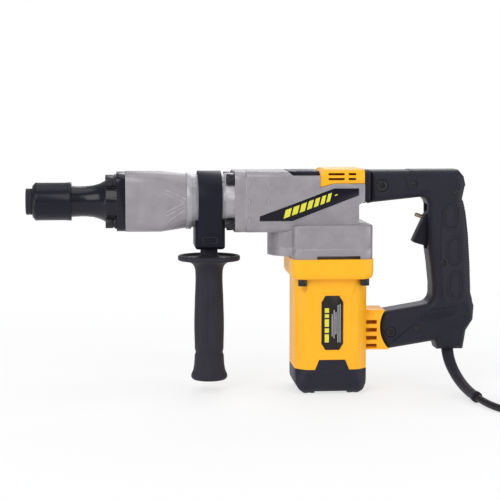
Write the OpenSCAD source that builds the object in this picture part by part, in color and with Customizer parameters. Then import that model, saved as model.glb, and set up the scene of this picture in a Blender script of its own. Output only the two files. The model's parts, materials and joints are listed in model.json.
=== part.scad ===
// Electric demolition hammer with a vertical motor, a crank-driven air-spring
// hammer mechanism, a quick-lock hexagonal tool socket, a rear D-handle and a
// clamped side handle. Millimetres, +Z up, nose towards -X. The origin is on
// the standing surface, under the middle of the tool.

/* [Hammer axis] */
// Height of the hammer axis above the feet
axis_z = 190.5; // [189:0.5:192]
// Width across the flats of the tool socket
hex_af = 17.2; // [17.1:0.1:17.4]
// Outer radius of the lock sleeve
sleeve_r = 19; // [18.5:0.5:20]
// Side of the square front flange
flange_w = 57; // [56:0.5:58]
// Radius of the barrel where the side handle clamps
seat_r = 26.3; // [26:0.1:26.6]

/* [Hammer mechanism] */
// Bore radius of the cylinder liner
bore_r = 19; // [18.9:0.05:19.1]
// Crank radius, half of the piston's stroke
crank_r = 11; // [10:0.5:11]
// Length of the connecting rod between its eyes
rod_len = 60; // [59:0.5:60]

/* [Gears] */
// Module of the gear pair
gear_m = 1; // [1]
// Teeth of the pinion on the armature shaft
pinion_z = 8; // [8]
// Teeth of the crank gear
gear_z = 52; // [52]

/* [Motor] */
// Distance of the motor axis behind the origin
motor_x = 76.5; // [76:0.5:77]
// Half width of the motor housing
motor_half = 36; // [35.5:0.5:36.5]
// Half width of the collar at the top of the motor housing
collar_half = 40.5; // [40:0.5:41]
// Offset of the collar and gear cover behind the motor axis
collar_shift = 0; // [0:0.1:0.5]
// Radius of the armature core
core_r = 20; // [19.5:0.5:20]

/* [Handles] */
// Half width of the rear handle
handle_half = 19; // [18.5:0.5:19.5]
// Distance of the side handle's axis ahead of the origin
side_x = 43; // [42.5:0.5:43.5]
// Radius of the side handle's guard flange
guard_r = 31; // [30:0.5:32]

/* [Cord] */
// Diameter of the mains cord
cord_d = 7; // [7]
// Middle radius of the stored coil
coil_r = 42; // [42]

/* [Hidden] */
$fn = 64;
fit = 0.05;
gap = 0.3;
side = -side_x;

// Stations along X
lip_x = -223.5;
sleeve_x0 = -217;
sleeve_x1 = -178.7;
shoulder_x = -196;
roller_x = -188;
boss_x = -145.5;
plate_x = -134.6;
case_x = -126;
flange_x = -19;
seam_x = -7.7;
rear_x = 103.4;
boot_x0 = 109.2;
arm_x = 116.4;

// Stations along Z
case_top = axis_z + 30;
case_low = axis_z - 30;
shoulder_z = 168.4;
plate_top = 145;
plate_low = 134.8;
collar_low = 115;
cap_z = 24.5;

// Crank drive
crank_x = motor_x - gear_m * (pinion_z + gear_z) / 2;
pin_x = crank_x - crank_r;
wrist_x = pin_x - rod_len;
rod_half = 6;
corner_bolt = 20;
rear_bolt = 22.5;
bolt_z_up = 205.6;
bolt_x_up = 128;
bolt_z_low = 59;
bolt_x_low = 138;

// ---- shapes that repeat ----

function corner(cx, cy, r, a0, n = 6) =
    [for (i = [0:n]) [cx + r * cos(a0 + 90 * i / n), cy + r * sin(a0 + 90 * i / n)]];

function rounded_rect(w, h, r) = concat(
    corner(w / 2 - r, h / 2 - r, r, 0), corner(-w / 2 + r, h / 2 - r, r, 90),
    corner(-w / 2 + r, -h / 2 + r, r, 180), corner(w / 2 - r, -h / 2 + r, r, 270));

function arc(cx, cy, r, a0, a1, n) =
    [for (i = [0:n]) [cx + r * cos(a0 + (a1 - a0) * i / n), cy + r * sin(a0 + (a1 - a0) * i / n)]];

// A body of revolution about the hammer axis, from [radius, x] points
module turned(points) translate([0, 0, axis_z]) rotate([0, 90, 0]) rotate_extrude($fn = 96) polygon(points);

// A round bar along X on the hammer axis
module bar(r, x0, x1) translate([x0, 0, axis_z]) rotate([0, 90, 0]) cylinder(r = r, h = x1 - x0, $fn = 96);

module tube(r_out, r_in, x0, x1) difference() {
    bar(r_out, x0, x1);
    bar(r_in, x0 - 1, x1 + 1);
}

// A rounded square bar along X
module square_bar(w, h, r, x0, x1, z = axis_z)
    translate([x0, 0, z]) rotate([0, 90, 0]) linear_extrude(x1 - x0) polygon(rounded_rect(h, w, r));

// A rounded slab standing on z0
module slab(x, w, d, r, z0, z1) translate([x, 0, z0]) linear_extrude(z1 - z0) polygon(rounded_rect(w, d, r));

module post(x, y, r, z0, z1) translate([x, y, z0]) cylinder(r = r, h = z1 - z0);

module ring(x, r_out, r_in, z0, z1) difference() {
    post(x, 0, r_out, z0, z1);
    post(x, 0, r_in, z0 - 1, z1 + 1);
}

// A plate in the XZ plane between two Y values
module plate_xz(points, y0, y1) translate([0, y1, 0]) rotate([90, 0, 0]) linear_extrude(y1 - y0) polygon(points);

module cross_bar(x, z, r, y0, y1) translate([x, y0, z]) rotate([-90, 0, 0]) cylinder(r = r, h = y1 - y0);

module box(x0, x1, y0, y1, z0, z1) translate([x0, y0, z0]) cube([x1 - x0, y1 - y0, z1 - z0]);

module both_sides() {
    children();
    mirror([0, 1, 0]) children();
}

// Four copies round the hammer axis, d away from it in Y and in Z
module at_corners(d) for (y = [-d, d], z = [-d, d]) translate([0, y, z]) children();

// A socket-head bolt along X: head at x0, two washers, shank to x1
module cap_bolt(x0, head_r, head_h, washer_h, shank_r, x1) difference() {
    union() {
        bar(head_r, x0, x0 + head_h);
        bar(head_r - 0.5, x0 + head_h, x0 + head_h + washer_h / 2);
        bar(head_r + 0.6, x0 + head_h + washer_h / 2, x0 + head_h + washer_h);
        bar(shank_r, x0 + head_h, x1);
    }
    translate([x0 - 1, 0, axis_z]) rotate([0, 90, 0]) cylinder(r = head_r * 0.55, h = head_h * 0.5 + 1, $fn = 6);
}

// ---- nose and tool lock ----

module nose_cover() color([0.10, 0.10, 0.13]) difference() {
    union() {
        turned([[0, shoulder_x], [15.4, shoulder_x], [15.4, -178], [15, -170], [15.05, -164], [15.8, -157],
            [17.6, -151], [20.4, boss_x], [20.4, plate_x], [0, plate_x]]);
        bar(26, boss_x, plate_x);
        square_bar(flange_w, flange_w, 10, plate_x, case_x);
    }
    at_corners(corner_bolt) bar(7.2, boss_x - 5, plate_x);
    at_corners(corner_bolt) bar(3.3, plate_x - 1, case_x + 1);
    bar(12, shoulder_x - 1, -150);
    bar(12.2, -150.3, case_x + 1);
    roller_slot();
}

// The slot through which the lock roller moves out of the socket
module roller_slot() box(roller_x - 3.6, roller_x + 3.6, -6.2, 6.2, axis_z + 5, axis_z + 16);

module tool_holder() color([0.30, 0.30, 0.32]) difference() {
    bar(11.98, -219, -150.35);
    translate([-220, 0, axis_z]) rotate([0, 90, 0]) rotate([0, 0, 30])
        cylinder(r = hex_af / 2 / cos(30), h = 68.5, $fn = 6);
    bar(9.95, -152, -149);
    roller_slot();
}

module nose_bolts() color([0.12, 0.12, 0.12])
    at_corners(corner_bolt) cap_bolt(boss_x, 5.25, 7.2, 3.7, 3, -108);

module dust_cap() color([0.05, 0.05, 0.06])
    turned([[9.95, lip_x + 0.6], [10.4, lip_x], [12.2, lip_x], [13, lip_x + 0.8], [13, -217.3], [12.1, -217.3], [12.1, -219.1], [9.95, -219.1]]);

module lock_sleeve() color([0.08, 0.08, 0.10])
    turned([[12.15, sleeve_x0], [15.5, sleeve_x0], [sleeve_r - 0.2, sleeve_x0 + 3], [sleeve_r - 0.4, sleeve_x0 + 8],
        [sleeve_r - 0.4, sleeve_x1 - 6], [sleeve_r, sleeve_x1 - 2], [sleeve_r, sleeve_x1], [15.6, sleeve_x1],
        [15.6, -189.5], [17, -195], [17, -200], [16, -201], [16, -213.5], [12.15, -213.5]]);

// A closed coil with flat end rings, between the sleeve's front wall and the nose's shoulder
module sleeve_spring() color([0.7, 0.7, 0.7])
    for (i = [0:4]) translate([shoulder_x - 0.9 - i * 3.9, 0, axis_z]) rotate([0, 90, 0])
        rotate_extrude($fn = 48) translate([13.7, 0]) circle(r = 0.75, $fn = 16);

module lock_roller() color([0.75, 0.75, 0.78]) cross_bar(roller_x, axis_z + 10, 3.5, -6, 6);

// ---- barrel ----

module cylinder_case() color([0.68, 0.68, 0.69]) difference() {
    union() {
        square_bar(flange_w + 1, flange_w + 1, 10, case_x, -92);
        hull() {
            square_bar(flange_w + 1, flange_w + 1, 10, -92, -91.5);
            bar(seat_r + 0.4, -66, -65);
        }
        bar(28, -66, -61);
        bar(seat_r, -61, flange_x);
        bar(27.6, -28, flange_x);
        square_bar(61, 60, 9, flange_x, seam_x);
    }
    bar(22 + fit, case_x - 1, seam_x + 1);
    at_corners(corner_bolt) bar(3 + fit, case_x - 1, -107);
    at_corners(rear_bolt) bar(3.3, flange_x - 1, seam_x + 1);
    at_corners(rear_bolt) bar(6.6, -32, flange_x);
}

module case_bolts() color([0.12, 0.12, 0.12])
    at_corners(rear_bolt) cap_bolt(-27, 5.4, 5.6, 2.4, 3, 4);

module cylinder_liner() color([0.6, 0.6, 0.62]) difference() {
    tube(22, bore_r, -117.8, seam_x - gap);
    for (a = [30:60:330]) translate([-72, 0, axis_z]) rotate([a, 0, 0]) translate([0, 0, 15]) cylinder(r = 1.5, h = 10);
}

module buffer_ring() color([0.15, 0.13, 0.12]) tube(21.9, 9.4, case_x + 0.1, -118);

module impact_bolt() color([0.72, 0.72, 0.74])
    turned([[0, -158], [7.4, -158], [8.4, -157], [8.4, -142], [12, -142], [12.15, -141.5], [12.15, -126.8],
        [11.7, -126.3], [9.1, -126.3], [9.1, -113], [8.2, -112], [0, -112]]);

module striker() color([0.72, 0.72, 0.74])
    turned([[0, -111.5], [8, -111.5], [9, -110.5], [9, -104], [17.5, -104], [bore_r - fit, -102], [bore_r - fit, -92],
        [17.4, -92], [17.4, -88], [bore_r - fit, -88], [bore_r - fit, -79], [17.8, -78], [0, -78]]);

module piston() color([0.78, 0.78, 0.8]) difference() {
    turned([[0, -50], [17.8, -50], [bore_r - fit, -49], [bore_r - fit, -46], [17.2, -46], [17.2, -43],
        [bore_r - fit, -43], [bore_r - fit, -14], [14.5, -14], [14.5, -41], [0, -41]]);
    post(wrist_x, 0, 5 + fit / 2, axis_z - 20, axis_z + 20);
}

module piston_pin() color([0.65, 0.65, 0.68]) post(wrist_x, 0, 5, axis_z - 17.5, axis_z + 17.5);

module connecting_rod() color([0.55, 0.55, 0.57]) difference() {
    union() {
        post(wrist_x, 0, 9, axis_z - rod_half, axis_z + rod_half);
        post(pin_x, 0, 10.5, axis_z - rod_half, axis_z + rod_half);
        box(wrist_x + 6, pin_x - 7, -4.5, 4.5, axis_z - 4.5, axis_z + 4.5);
    }
    post(wrist_x, 0, 5 + fit, axis_z - 10, axis_z + 10);
    post(pin_x, 0, 5 + fit, axis_z - 10, axis_z + 10);
    both_sides() box(wrist_x + 13, pin_x - 14, 2.5, 6, axis_z - 3, axis_z + 3);
}

// ---- crank case ----

function crank_side() = [[seam_x + 0.02, case_low], [seam_x + 0.02, case_top], [33, case_top], [38, case_top - 4.2],
    [64.7, case_top - 4.2], [64.7, axis_z + 13.8], [78, axis_z + 17.6], [109, axis_z + 17.6], [109, axis_z],
    [rear_x, axis_z - 3], [rear_x, case_low]];

module crank_case() color([0.66, 0.66, 0.67]) difference() {
    union() {
        intersection() {
            plate_xz(crank_side(), -31, 31);
            square_bar(61, 60, 6, seam_x - 1, 112);
        }
        slab(motor_x + collar_shift, 2 * (collar_half - 1), 88, 9, plate_top, shoulder_z);
        post(crank_x, 0, 31, plate_top, 166);
        box(100, 143, -8, 8, bolt_z_up - 7.5, bolt_z_up + 7.5);
    }
    bar(20, seam_x - 1, 9);
    box(8, 62, -24, 24, axis_z - 19, axis_z + 21);
    box(61, 74, -24, 24, axis_z - 19, axis_z + 9);
    post(50, 0, 13, axis_z + 15, case_top + 1);
    post(crank_x, 0, 15 + fit / 2, 162, axis_z - 18);
    post(crank_x, 0, 9, 158, 163);
    post(crank_x, 0, 28, plate_top - 1, 159.5);
    post(motor_x, 0, 11, plate_top - 1, 159.5);
    box(crank_x, motor_x + 8, -10, 10, plate_top - 1, 159.5);
    cross_bar(bolt_x_up, bolt_z_up, 4.1, -20, 20);
    at_corners(rear_bolt) bar(3 + fit, seam_x - 1, 5);
    for (x = [39.5, 60.5], y = [-20, 20]) post(x, y, 1.6, case_top - 13, case_top);
    for (x = [46.5, 108.5], y = [-37, 37]) post(x, y, 2.5 + fit, plate_top - 1, 160);
}

module crank_lid() color([0.09, 0.09, 0.10]) difference() {
    union() {
        plate_xz([[38.4, case_top - 4.1], [34.2, case_top - 0.4], [35.5, case_top], [64.5, case_top], [64.5, case_top - 4.1]], -25, 25);
        post(50, 0, 12.9, axis_z + 22, case_top - 3);
    }
    for (x = [39.5, 60.5], y = [-20, 20]) post(x, y, 1.7, case_top - 10, case_top + 1);
    for (x = [39.5, 60.5], y = [-20, 20]) post(x, y, 3.2, case_top - 1.9, case_top + 1);
}

// A small cross-recess screw standing on its point, the top of its head at z_top
module cross_screw(x, y, z_top, up) translate([x, y, z_top]) mirror([0, 0, up ? 0 : 1]) difference() {
    union() {
        translate([0, 0, -1.75]) cylinder(r = 3, h = 1.75);
        translate([0, 0, -12]) cylinder(r = 1.5, h = 11);
    }
    translate([-2.2, -0.4, -0.9]) cube([4.4, 0.8, 2]);
    translate([-0.4, -2.2, -0.9]) cube([0.8, 4.4, 2]);
}

module cross_screws() color([0.55, 0.55, 0.57]) {
    for (x = [39.5, 60.5], y = [-20, 20]) cross_screw(x, y, case_top - 0.1, true);
    for (x = [-22, 22], y = [-24, 24]) cross_screw(motor_x + x, y, 2.2, false);
}

module top_vent_cover() color([1.0, 0.68, 0.12]) difference() {
    intersection() {
        plate_xz([[65, axis_z + 14.3], [65, axis_z + 27.5], [70, axis_z + 31.9], [109, axis_z + 31.9], [109, axis_z + 17.9],
            [78, axis_z + 17.9]], -29, 29);
        square_bar(58, 63.8, 6, 60, 112);
    }
    both_sides() box(67.5, 106.5, 1, 26.5, axis_z, axis_z + 29.5);
    box(99.7, 112, -8.2, 8.2, axis_z, bolt_z_up + 7.7);
    for (z = [axis_z + 21.2, axis_z + 26]) {
        both_sides() box(73, 89, 25, 30, z, z + 2.2);
        both_sides() box(93, 100.5, 25, 30, z, z + 2.2);
    }
}

module side_badges() color([0.08, 0.08, 0.10]) both_sides()
    plate_xz([[5, axis_z - 18.5], [5, axis_z - 14], [78.6, axis_z + 13.2], [103, axis_z + 13.2], [103, axis_z + 6.4], [37.3, axis_z - 18.5]],
        -31.05, -30.55);

// ---- gears, bearings and crank ----

// Involute spur gear outline, with profile shift and an outside radius of its own
function involute_at(r, base) = r <= base ? 0 : (tan(acos(base / r)) * 180 / PI - acos(base / r));

function flank(r, base, half_pitch_angle, inv_p) = half_pitch_angle + inv_p - involute_at(r, base);

function gear_outline(z, m, shift, tip_r, root_r, thinner) =
    let (p = z * m / 2, base = p * cos(20), inv_p = involute_at(p, base),
        half = (PI / 2 + 2 * shift * tan(20)) * m / 2 - thinner,
        half_angle = half / p * 180 / PI, start = max(base, root_r), steps = 6)
    [for (t = [0:z - 1]) each concat(
        [[root_r, -flank(start, base, half_angle, inv_p)]],
        [for (i = [0:steps]) let (r = start + (tip_r - start) * i / steps) [r, -flank(r, base, half_angle, inv_p)]],
        [for (i = [steps:-1:0]) let (r = start + (tip_r - start) * i / steps) [r, flank(r, base, half_angle, inv_p)]],
        [[root_r, flank(start, base, half_angle, inv_p)]]) + [for (k = [0:2 * steps + 3]) [0, 360 * t / z]]];

module gear(z, shift, tip_r, root_r, turn, z0, z1)
    translate([0, 0, z0]) rotate([0, 0, turn]) linear_extrude(z1 - z0)
        polygon([for (p = gear_outline(z, gear_m, shift, tip_r, root_r, 0.06)) [p[0] * cos(p[1]), p[0] * sin(p[1])]]);

module crank_gear() color([0.6, 0.6, 0.62]) difference() {
    translate([crank_x, 0, 0]) gear(gear_z, -0.55, 26.45, 24.15, 180 / gear_z, 148, 157.5);
    post(crank_x, 0, 7.5, 147, 160);
    for (a = [0:60:300]) translate([crank_x, 0, 0]) rotate([0, 0, a]) post(15.5, 0, 4, 147, 160);
}

module crank_shaft() color([0.7, 0.7, 0.72]) union() {
    post(crank_x, 0, 6, 138.3, 146);
    post(crank_x, 0, 7.45, 145.8, axis_z - 18);
    post(crank_x, 0, 17, axis_z - 18.2, axis_z - 11);
    post(pin_x, 0, 5, axis_z - 12, axis_z - rod_half - 0.5);
    box(crank_x + 2, crank_x + 15, -9, 9, axis_z - 12, axis_z - 8);
}

// Ball bearing as an outer race, an inner race and a row of balls
module bearing(x, r_out, r_in, z0, z1) {
    mid = (r_out + r_in) / 2;
    ball = (r_out - r_in) * 0.25;
    difference() {
        union() {
            ring(x, r_out, mid + ball * 0.45, z0, z1);
            ring(x, mid - ball * 0.45, r_in, z0, z1);
        }
        translate([x, 0, (z0 + z1) / 2]) rotate_extrude() translate([mid, 0]) circle(r = ball + fit, $fn = 24);
    }
    for (a = [0:45:315]) translate([x + mid * cos(a), mid * sin(a), (z0 + z1) / 2]) sphere(r = ball, $fn = 24);
}

module crank_bearings() color([0.75, 0.75, 0.77]) {
    bearing(crank_x, 15, 7.5, 162.1, 171.5);
    bearing(crank_x, 13, 6 + fit, 138.2, 144.9);
}

module armature_bearings() color([0.75, 0.75, 0.77]) {
    bearing(motor_x, 14, 6 + fit, 138.2, 144.9);
    bearing(motor_x, 11, 4 + fit, 11, 18);
}

module gear_plate() color([0.64, 0.64, 0.65]) difference() {
    union() {
        slab(motor_x + collar_shift, 2 * (collar_half - 1), 88, 9, plate_low, plate_top - 0.02);
        post(crank_x, 0, 31, plate_low + 2, plate_top - 0.02);
        post(crank_x, 0, 16, plate_low + 0.2, plate_top - 1);
    }
    post(crank_x, 0, 13 + fit / 2, 138.1, plate_top + 1);
    post(motor_x, 0, 14 + fit / 2, 138.1, plate_top + 1);
    post(motor_x, 0, 9, plate_low - 1, plate_top);
    both_sides() box(60, 103, 33, 46, plate_low - 1, plate_low + 3.4);
    for (x = [46.5, 108.5], y = [-37, 37]) post(x, y, 2.7, plate_low - 1, plate_top + 1);
}

// ---- motor ----

// The motor housing's section: a square whose corners are cut by wide facets with a soft bevel each side
function motor_outline(h) = let (k = h * 0.72, b = 4) [for (s = [0:3])
    each [for (p = [[h, b - k], [h, k - b], [h - 1.2, k + 0.5], [k + 0.5, h - 1.2]])
        [p[0] * cos(90 * s) - p[1] * sin(90 * s), p[0] * sin(90 * s) + p[1] * cos(90 * s)]]];

module motor_bar(h, z0, z1) translate([motor_x, 0, z0]) linear_extrude(z1 - z0) polygon(motor_outline(h));

module motor_housing() color([1.0, 0.70, 0.13]) difference() {
    union() {
        slab(motor_x + collar_shift, 2 * collar_half, 90, 10, collar_low + 3, plate_low - 0.02);
        slab(motor_x + collar_shift, 2 * collar_half - 4, 86, 9, collar_low, collar_low + 4);
        motor_bar(motor_half, cap_z + 0.2, collar_low + 1);
        motor_bar(motor_half - 3.2, 8, cap_z + 1);
    }
    post(motor_x, 0, 33.6, 26, plate_low + 1);
    post(motor_x, 0, 36.5, 118, plate_low + 1);
    post(motor_x, 0, 11 + fit / 2, 11, 30);
    post(motor_x, 0, 5, 7, 12);
    for (a = [0:45:315]) translate([motor_x, 0, 0]) rotate([0, 0, a + 22.5]) box(14, 29, -4, 4, 7, 27);
    both_sides() {
        plate_xz([[motor_x - 17.6, cap_z - 1], [motor_x - 13, 34.6], [motor_x + 13, 34.6], [motor_x + 17.6, cap_z - 1]], motor_half - 3.05, motor_half + 1);
        plate_xz([[motor_x - 11, 50.6], [motor_x - 11, 92], [motor_x - 7, 98.5], [motor_x + 7, 98.5], [motor_x + 11, 92], [motor_x + 11, 50.6],
            [motor_x + 7, 44.2], [motor_x - 7, 44.2]], motor_half - 0.7, motor_half + 1);
    }
    for (x = [46.5, 108.5], y = [-37, 37]) post(x, y, 2.7, collar_low - 6, plate_low + 1);
    for (x = [46.5, 108.5], y = [-37, 37]) post(x, y, 5.2, collar_low - 12, collar_low + 0.02);
    for (x = [-22, 22], y = [-24, 24]) post(motor_x + x, y, 1.6 + fit, 7, 20);
}

module housing_screws() color([0.12, 0.12, 0.13]) for (x = [46.5, 108.5], y = [-37, 37]) difference() {
    union() {
        post(x, y, 4.3, collar_low - 6.5, collar_low);
        post(x, y, 2.5, collar_low - 1, 158);
    }
    translate([x, y, collar_low - 8]) cylinder(r = 2.4, h = 5, $fn = 6);
}

// What the tail cap's lower edge loses on each of its four sides
cap_bevel = [[27, -1], [27, 0], [32.5, 4.5], [35.3, 10], [36.9, 17], [45, 17], [45, -1]];

module tail_cap() color([0.13, 0.13, 0.16]) difference() {
    union() {
        motor_bar(motor_half, 0, cap_z);
        for (s = [-1, 1]) plate_xz([[motor_x - 17.3, cap_z - 1], [motor_x - 12.7, 34.3], [motor_x + 12.7, 34.3],
            [motor_x + 17.3, cap_z - 1]], s * (motor_half - 1.55) - 1.45, s * (motor_half - 1.55) + 1.45);
    }
    for (a = [0:90:270]) translate([motor_x, 0, 0]) rotate([0, 0, a]) plate_xz(cap_bevel, -50, 50);
    motor_bar(motor_half - 3, 7.9, cap_z + 0.1);
    box(motor_x - 16.5, motor_x + 16.5, -45, 45, -1, 2);
    for (x = [-22, 22], y = [-24, 24]) post(motor_x + x, y, 1.8, -1, 10);
    for (x = [-22, 22], y = [-24, 24]) post(motor_x + x, y, 3.4, -1, 4);
    for (a = [-1.5:1.5]) box(motor_x + a * 7.5 - 1.3, motor_x + a * 7.5 + 1.3, -16, 16, 1, 10);
}

module nameplate() color([0.16, 0.13, 0.13]) both_sides()
    plate_xz([[motor_x - 10.7, 50.8], [motor_x - 10.7, 91.8], [motor_x - 6.8, 98.2], [motor_x + 6.8, 98.2], [motor_x + 10.7, 91.8],
        [motor_x + 10.7, 50.8], [motor_x + 6.8, 44.5], [motor_x - 6.8, 44.5]], -motor_half + 0.1, -motor_half + 0.65);

module stator_core() color([0.45, 0.45, 0.47]) difference() {
    post(motor_x, 0, 33.5, 50, 95);
    post(motor_x, 0, core_r + 0.5, 49, 96);
    for (s = [-1, 1]) translate([motor_x, s * 23, 0]) box(-15, 15, -4.5, 4.5, 49, 96);
}

// Two wound field coils, one in each of the stator's windows, bent over at both ends
module field_coils() color([0.72, 0.40, 0.18]) both_sides() difference() {
    union() {
        box(motor_x - 14.6, motor_x + 14.6, 21, 25.2, 44, 101);
        box(motor_x - 14.6, motor_x + 14.6, 24, 30, 96.5, 101);
    }
    box(motor_x - 9, motor_x + 9, 20, 31, 97.5, 102);
    box(motor_x - 9, motor_x + 9, 20, 31, 43, 48);
}

module armature_shaft() color([0.7, 0.7, 0.72]) translate([motor_x, 0, 0]) {
    post(0, 0, 3.95, 10.5, 26);
    post(0, 0, 5, 25.5, 136);
    post(0, 0, 6, 136, 145.6);
    gear(pinion_z, 0.55, 5.3, 3.3, 0, 145.5, 158.5);
}

module armature_core() color([0.5, 0.4, 0.35]) difference() {
    union() {
        post(motor_x, 0, core_r, 50, 95);
        post(motor_x, 0, 15, 44, 104);
    }
    post(motor_x, 0, 5 + fit, 43, 105);
    for (a = [0:30:330]) translate([motor_x, 0, 0]) rotate([0, 0, a]) box(core_r - 1.5, core_r + 1, -1.2, 1.2, 49, 96);
}

module commutator() color([0.75, 0.45, 0.25]) difference() {
    post(motor_x, 0, 12, 27, 42);
    post(motor_x, 0, 5 + fit, 26, 43);
    for (a = [0:15:345]) translate([motor_x, 0, 0]) rotate([0, 0, a]) box(11.3, 13, -0.3, 0.3, 26, 41);
}

module cooling_fan() color([0.2, 0.2, 0.22]) difference() {
    union() {
        post(motor_x, 0, 31, 120, 122);
        post(motor_x, 0, 9, 119, 132);
        for (a = [0:24:336]) translate([motor_x, 0, 0]) rotate([0, 0, a]) translate([15, 0, 0]) rotate([0, 0, 25]) box(0, 14.5, -0.8, 0.8, 121, 132);
    }
    post(motor_x, 0, 5 + fit, 118, 133);
}

module fan_shroud() color([0.15, 0.15, 0.16]) difference() {
    ring(motor_x, 33.5, 22, 106, 112);
    for (a = [45:90:315]) translate([motor_x, 0, 0]) rotate([0, 0, a]) post(28, 0, 2, 105, 113);
}

module brush_holders() color([0.78, 0.62, 0.3]) for (s = [-1, 1]) difference() {
    translate([motor_x, 0, 0]) box(min(13 * s, 31 * s), max(13 * s, 31 * s), -6, 6, 29, 41);
    translate([motor_x, 0, 0]) box(-32, 32, -3.6, 3.6, 31.4, 38.6);
}

module carbon_brushes() color([0.2, 0.2, 0.2]) for (s = [-1, 1])
    translate([motor_x, 0, 0]) box(min(12.2 * s, 28 * s), max(12.2 * s, 28 * s), -3.5, 3.5, 31.5, 38.5);

// ---- rear handle ----

duct_arc = [158.7, 64];

module rear_vent_duct() color([1.0, 0.66, 0.22]) difference() {
    union() {
        plate_xz(concat([[motor_x + motor_half + 0.05, 41.4], [motor_x + motor_half + 0.05, 81.2], [132, 81.2]],
            arc(duct_arc[0], duct_arc[1], 31.6, 148, 226, 10)), -17.5, 17.5);
        box(120, 147, -8, 8, bolt_z_low - 8, bolt_z_low + 8);
    }
    both_sides() {
        box(motor_x + motor_half - 1, 126, 1.2, 13, 44, 78);
        for (i = [0:3]) box(113.2, 124, 12, 18, 43.1 + i * 8, 47 + i * 8);
    }
    cross_bar(bolt_x_low, bolt_z_low, 4.1, -20, 20);
}

module arm_boot() color([0.07, 0.07, 0.08]) difference() {
    union() {
        for (i = [0:2]) square_bar(36.5 - 1.2 * (i % 2), 32.5 - 1.2 * (i % 2), 5, boot_x0 + i * 2.4, boot_x0 + i * 2.4 + 2.4, axis_z + 13.8);
    }
    box(boot_x0 - 1, arm_x + 1, -8.3, 8.3, bolt_z_up - 7.8, bolt_z_up + 7.8);
}

handle_outline = concat(
    [[arm_x, 220.5], [205.5, 220.5], [211, 214], [213, 205], [210.2, 192], [213.3, 178], [216, 156], [218, 127], [219.2, 97],
        [223.4, 84], [222.5, 70], [215.5, 59], [213, 44], [209, 40.2], [188, 40.2], [184.5, 44], [183.5, 48.8], [137.4, 41]],
    [for (p = arc(duct_arc[0], duct_arc[1], 31.3, 226, 154, 10)) p],
    [[134.5, 80], [168, 85.6]], arc(169.5, 96.6, 11, -60, -5, 5), [[180.6, 105], [178.2, 127], [176, 142], [175.6, 184.6]],
    arc(166.6, 184.9, 9, 0, 80, 5), [[arm_x, 188.3]]);

// The hollow of one handle half, y0 to y1
module handle_hollow(y0, y1) {
    plate_xz([[arm_x - 1, 193], [arm_x - 1, 216.5], [203, 216.5], [206.5, 212], [206.5, 196], [170, 198.5]], y0, y1);
    plate_xz([[182.5, 206], [206.5, 206], [209, 180], [212, 150], [214, 100], [215.5, 80], [209, 66], [190, 62], [184.5, 80], [184.5, 105],
        [182.3, 127], [180, 150]], y0, y1);
    plate_xz([[126, 46], [126, 75.5], [168, 81], [192, 82], [192, 55], [142, 46]], y0, y1);
}

module handle_half(s) difference() {
    union() {
        if (s < 0) plate_xz(handle_outline, -handle_half, -0.02);
        else plate_xz(handle_outline, 0.02, handle_half);
    }
    if (s < 0) handle_hollow(-handle_half + 4, 1);
    else handle_hollow(-1, handle_half - 4);
    cross_bar(bolt_x_up, bolt_z_up, 4.1, -25, 25);
    cross_bar(bolt_x_low, bolt_z_low, 4.1, -25, 25);
    cross_bar(bolt_x_up, bolt_z_up, 6.2, s < 0 ? -25 : handle_half - 2.6, s < 0 ? -handle_half + 2.6 : 25);
    cross_bar(bolt_x_low, bolt_z_low, 5.4, s < 0 ? -25 : handle_half - 2.6, s < 0 ? -handle_half + 2.6 : 25);
    box(170, 186, -8.2, 8.2, 141, 186.5);
    cross_bar(181, 181.5, 1.52, -14.6, 14.6);
    post(198.6, 0, 6.8, 39, 68);
    pad_cut();
}

// The space that the soft pad fills along the back of the grip
module pad_cut() plate_xz([[214.5, 184], [217.4, 156], [219.4, 127], [220.6, 98], [228, 98], [228, 190], [214, 190]], -30, 30);

module handle_left() color([0.14, 0.14, 0.17]) difference() {
    handle_half(-1);
    for (p = handle_screw_at) cross_bar(p[0], p[1], 1.7, -25, 1);
    for (p = handle_screw_at) cross_bar(p[0], p[1], 3.4, -25, -handle_half + 2);
}

module handle_right() color([0.14, 0.14, 0.17]) difference() {
    union() {
        handle_half(1);
        for (p = handle_screw_at) cross_bar(p[0], p[1], 3.8, 0.3, handle_half - 3);
    }
    for (p = handle_screw_at) cross_bar(p[0], p[1], 1.6, -1, 12);
}

handle_screw_at = [[160, 207], [203.5, 198], [190, 128], [213, 77], [165, 62]];

module handle_screws() color([0.5, 0.5, 0.52]) for (p = handle_screw_at) difference() {
    union() {
        cross_bar(p[0], p[1], 3.2, -handle_half + 0.3, -handle_half + 1.95);
        cross_bar(p[0], p[1], 1.55, -handle_half + 1.5, 10);
    }
    box(p[0] - 2.2, p[0] + 2.2, -handle_half - 1, -handle_half + 1, p[1] - 0.4, p[1] + 0.4);
    box(p[0] - 0.4, p[0] + 0.4, -handle_half - 1, -handle_half + 1, p[1] - 2.2, p[1] + 2.2);
}

module handle_bolts() color([0.12, 0.12, 0.12]) {
    for (p = [[bolt_x_up, bolt_z_up, 5.7], [bolt_x_low, bolt_z_low, 4.9]]) difference() {
        union() {
            cross_bar(p[0], p[1], p[2], -handle_half + 0.4, -handle_half + 2.55);
            cross_bar(p[0], p[1], 4, -handle_half + 2, handle_half - 2);
            cross_bar(p[0], p[1], p[2], handle_half - 2.55, handle_half - 0.4);
        }
        translate([p[0], -handle_half - 1, p[1]]) rotate([-90, 0, 0]) cylinder(r = 3, h = 4, $fn = 6);
    }
}

module grip_pad() color([0.10, 0.10, 0.12])
    plate_xz([[213.6, 176], [216.2, 156], [218.2, 127], [219.35, 98.2], [220.5, 98.2], [219.3, 127], [217.3, 156], [214.4, 184], [213.3, 184]], -13, 13);

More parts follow.
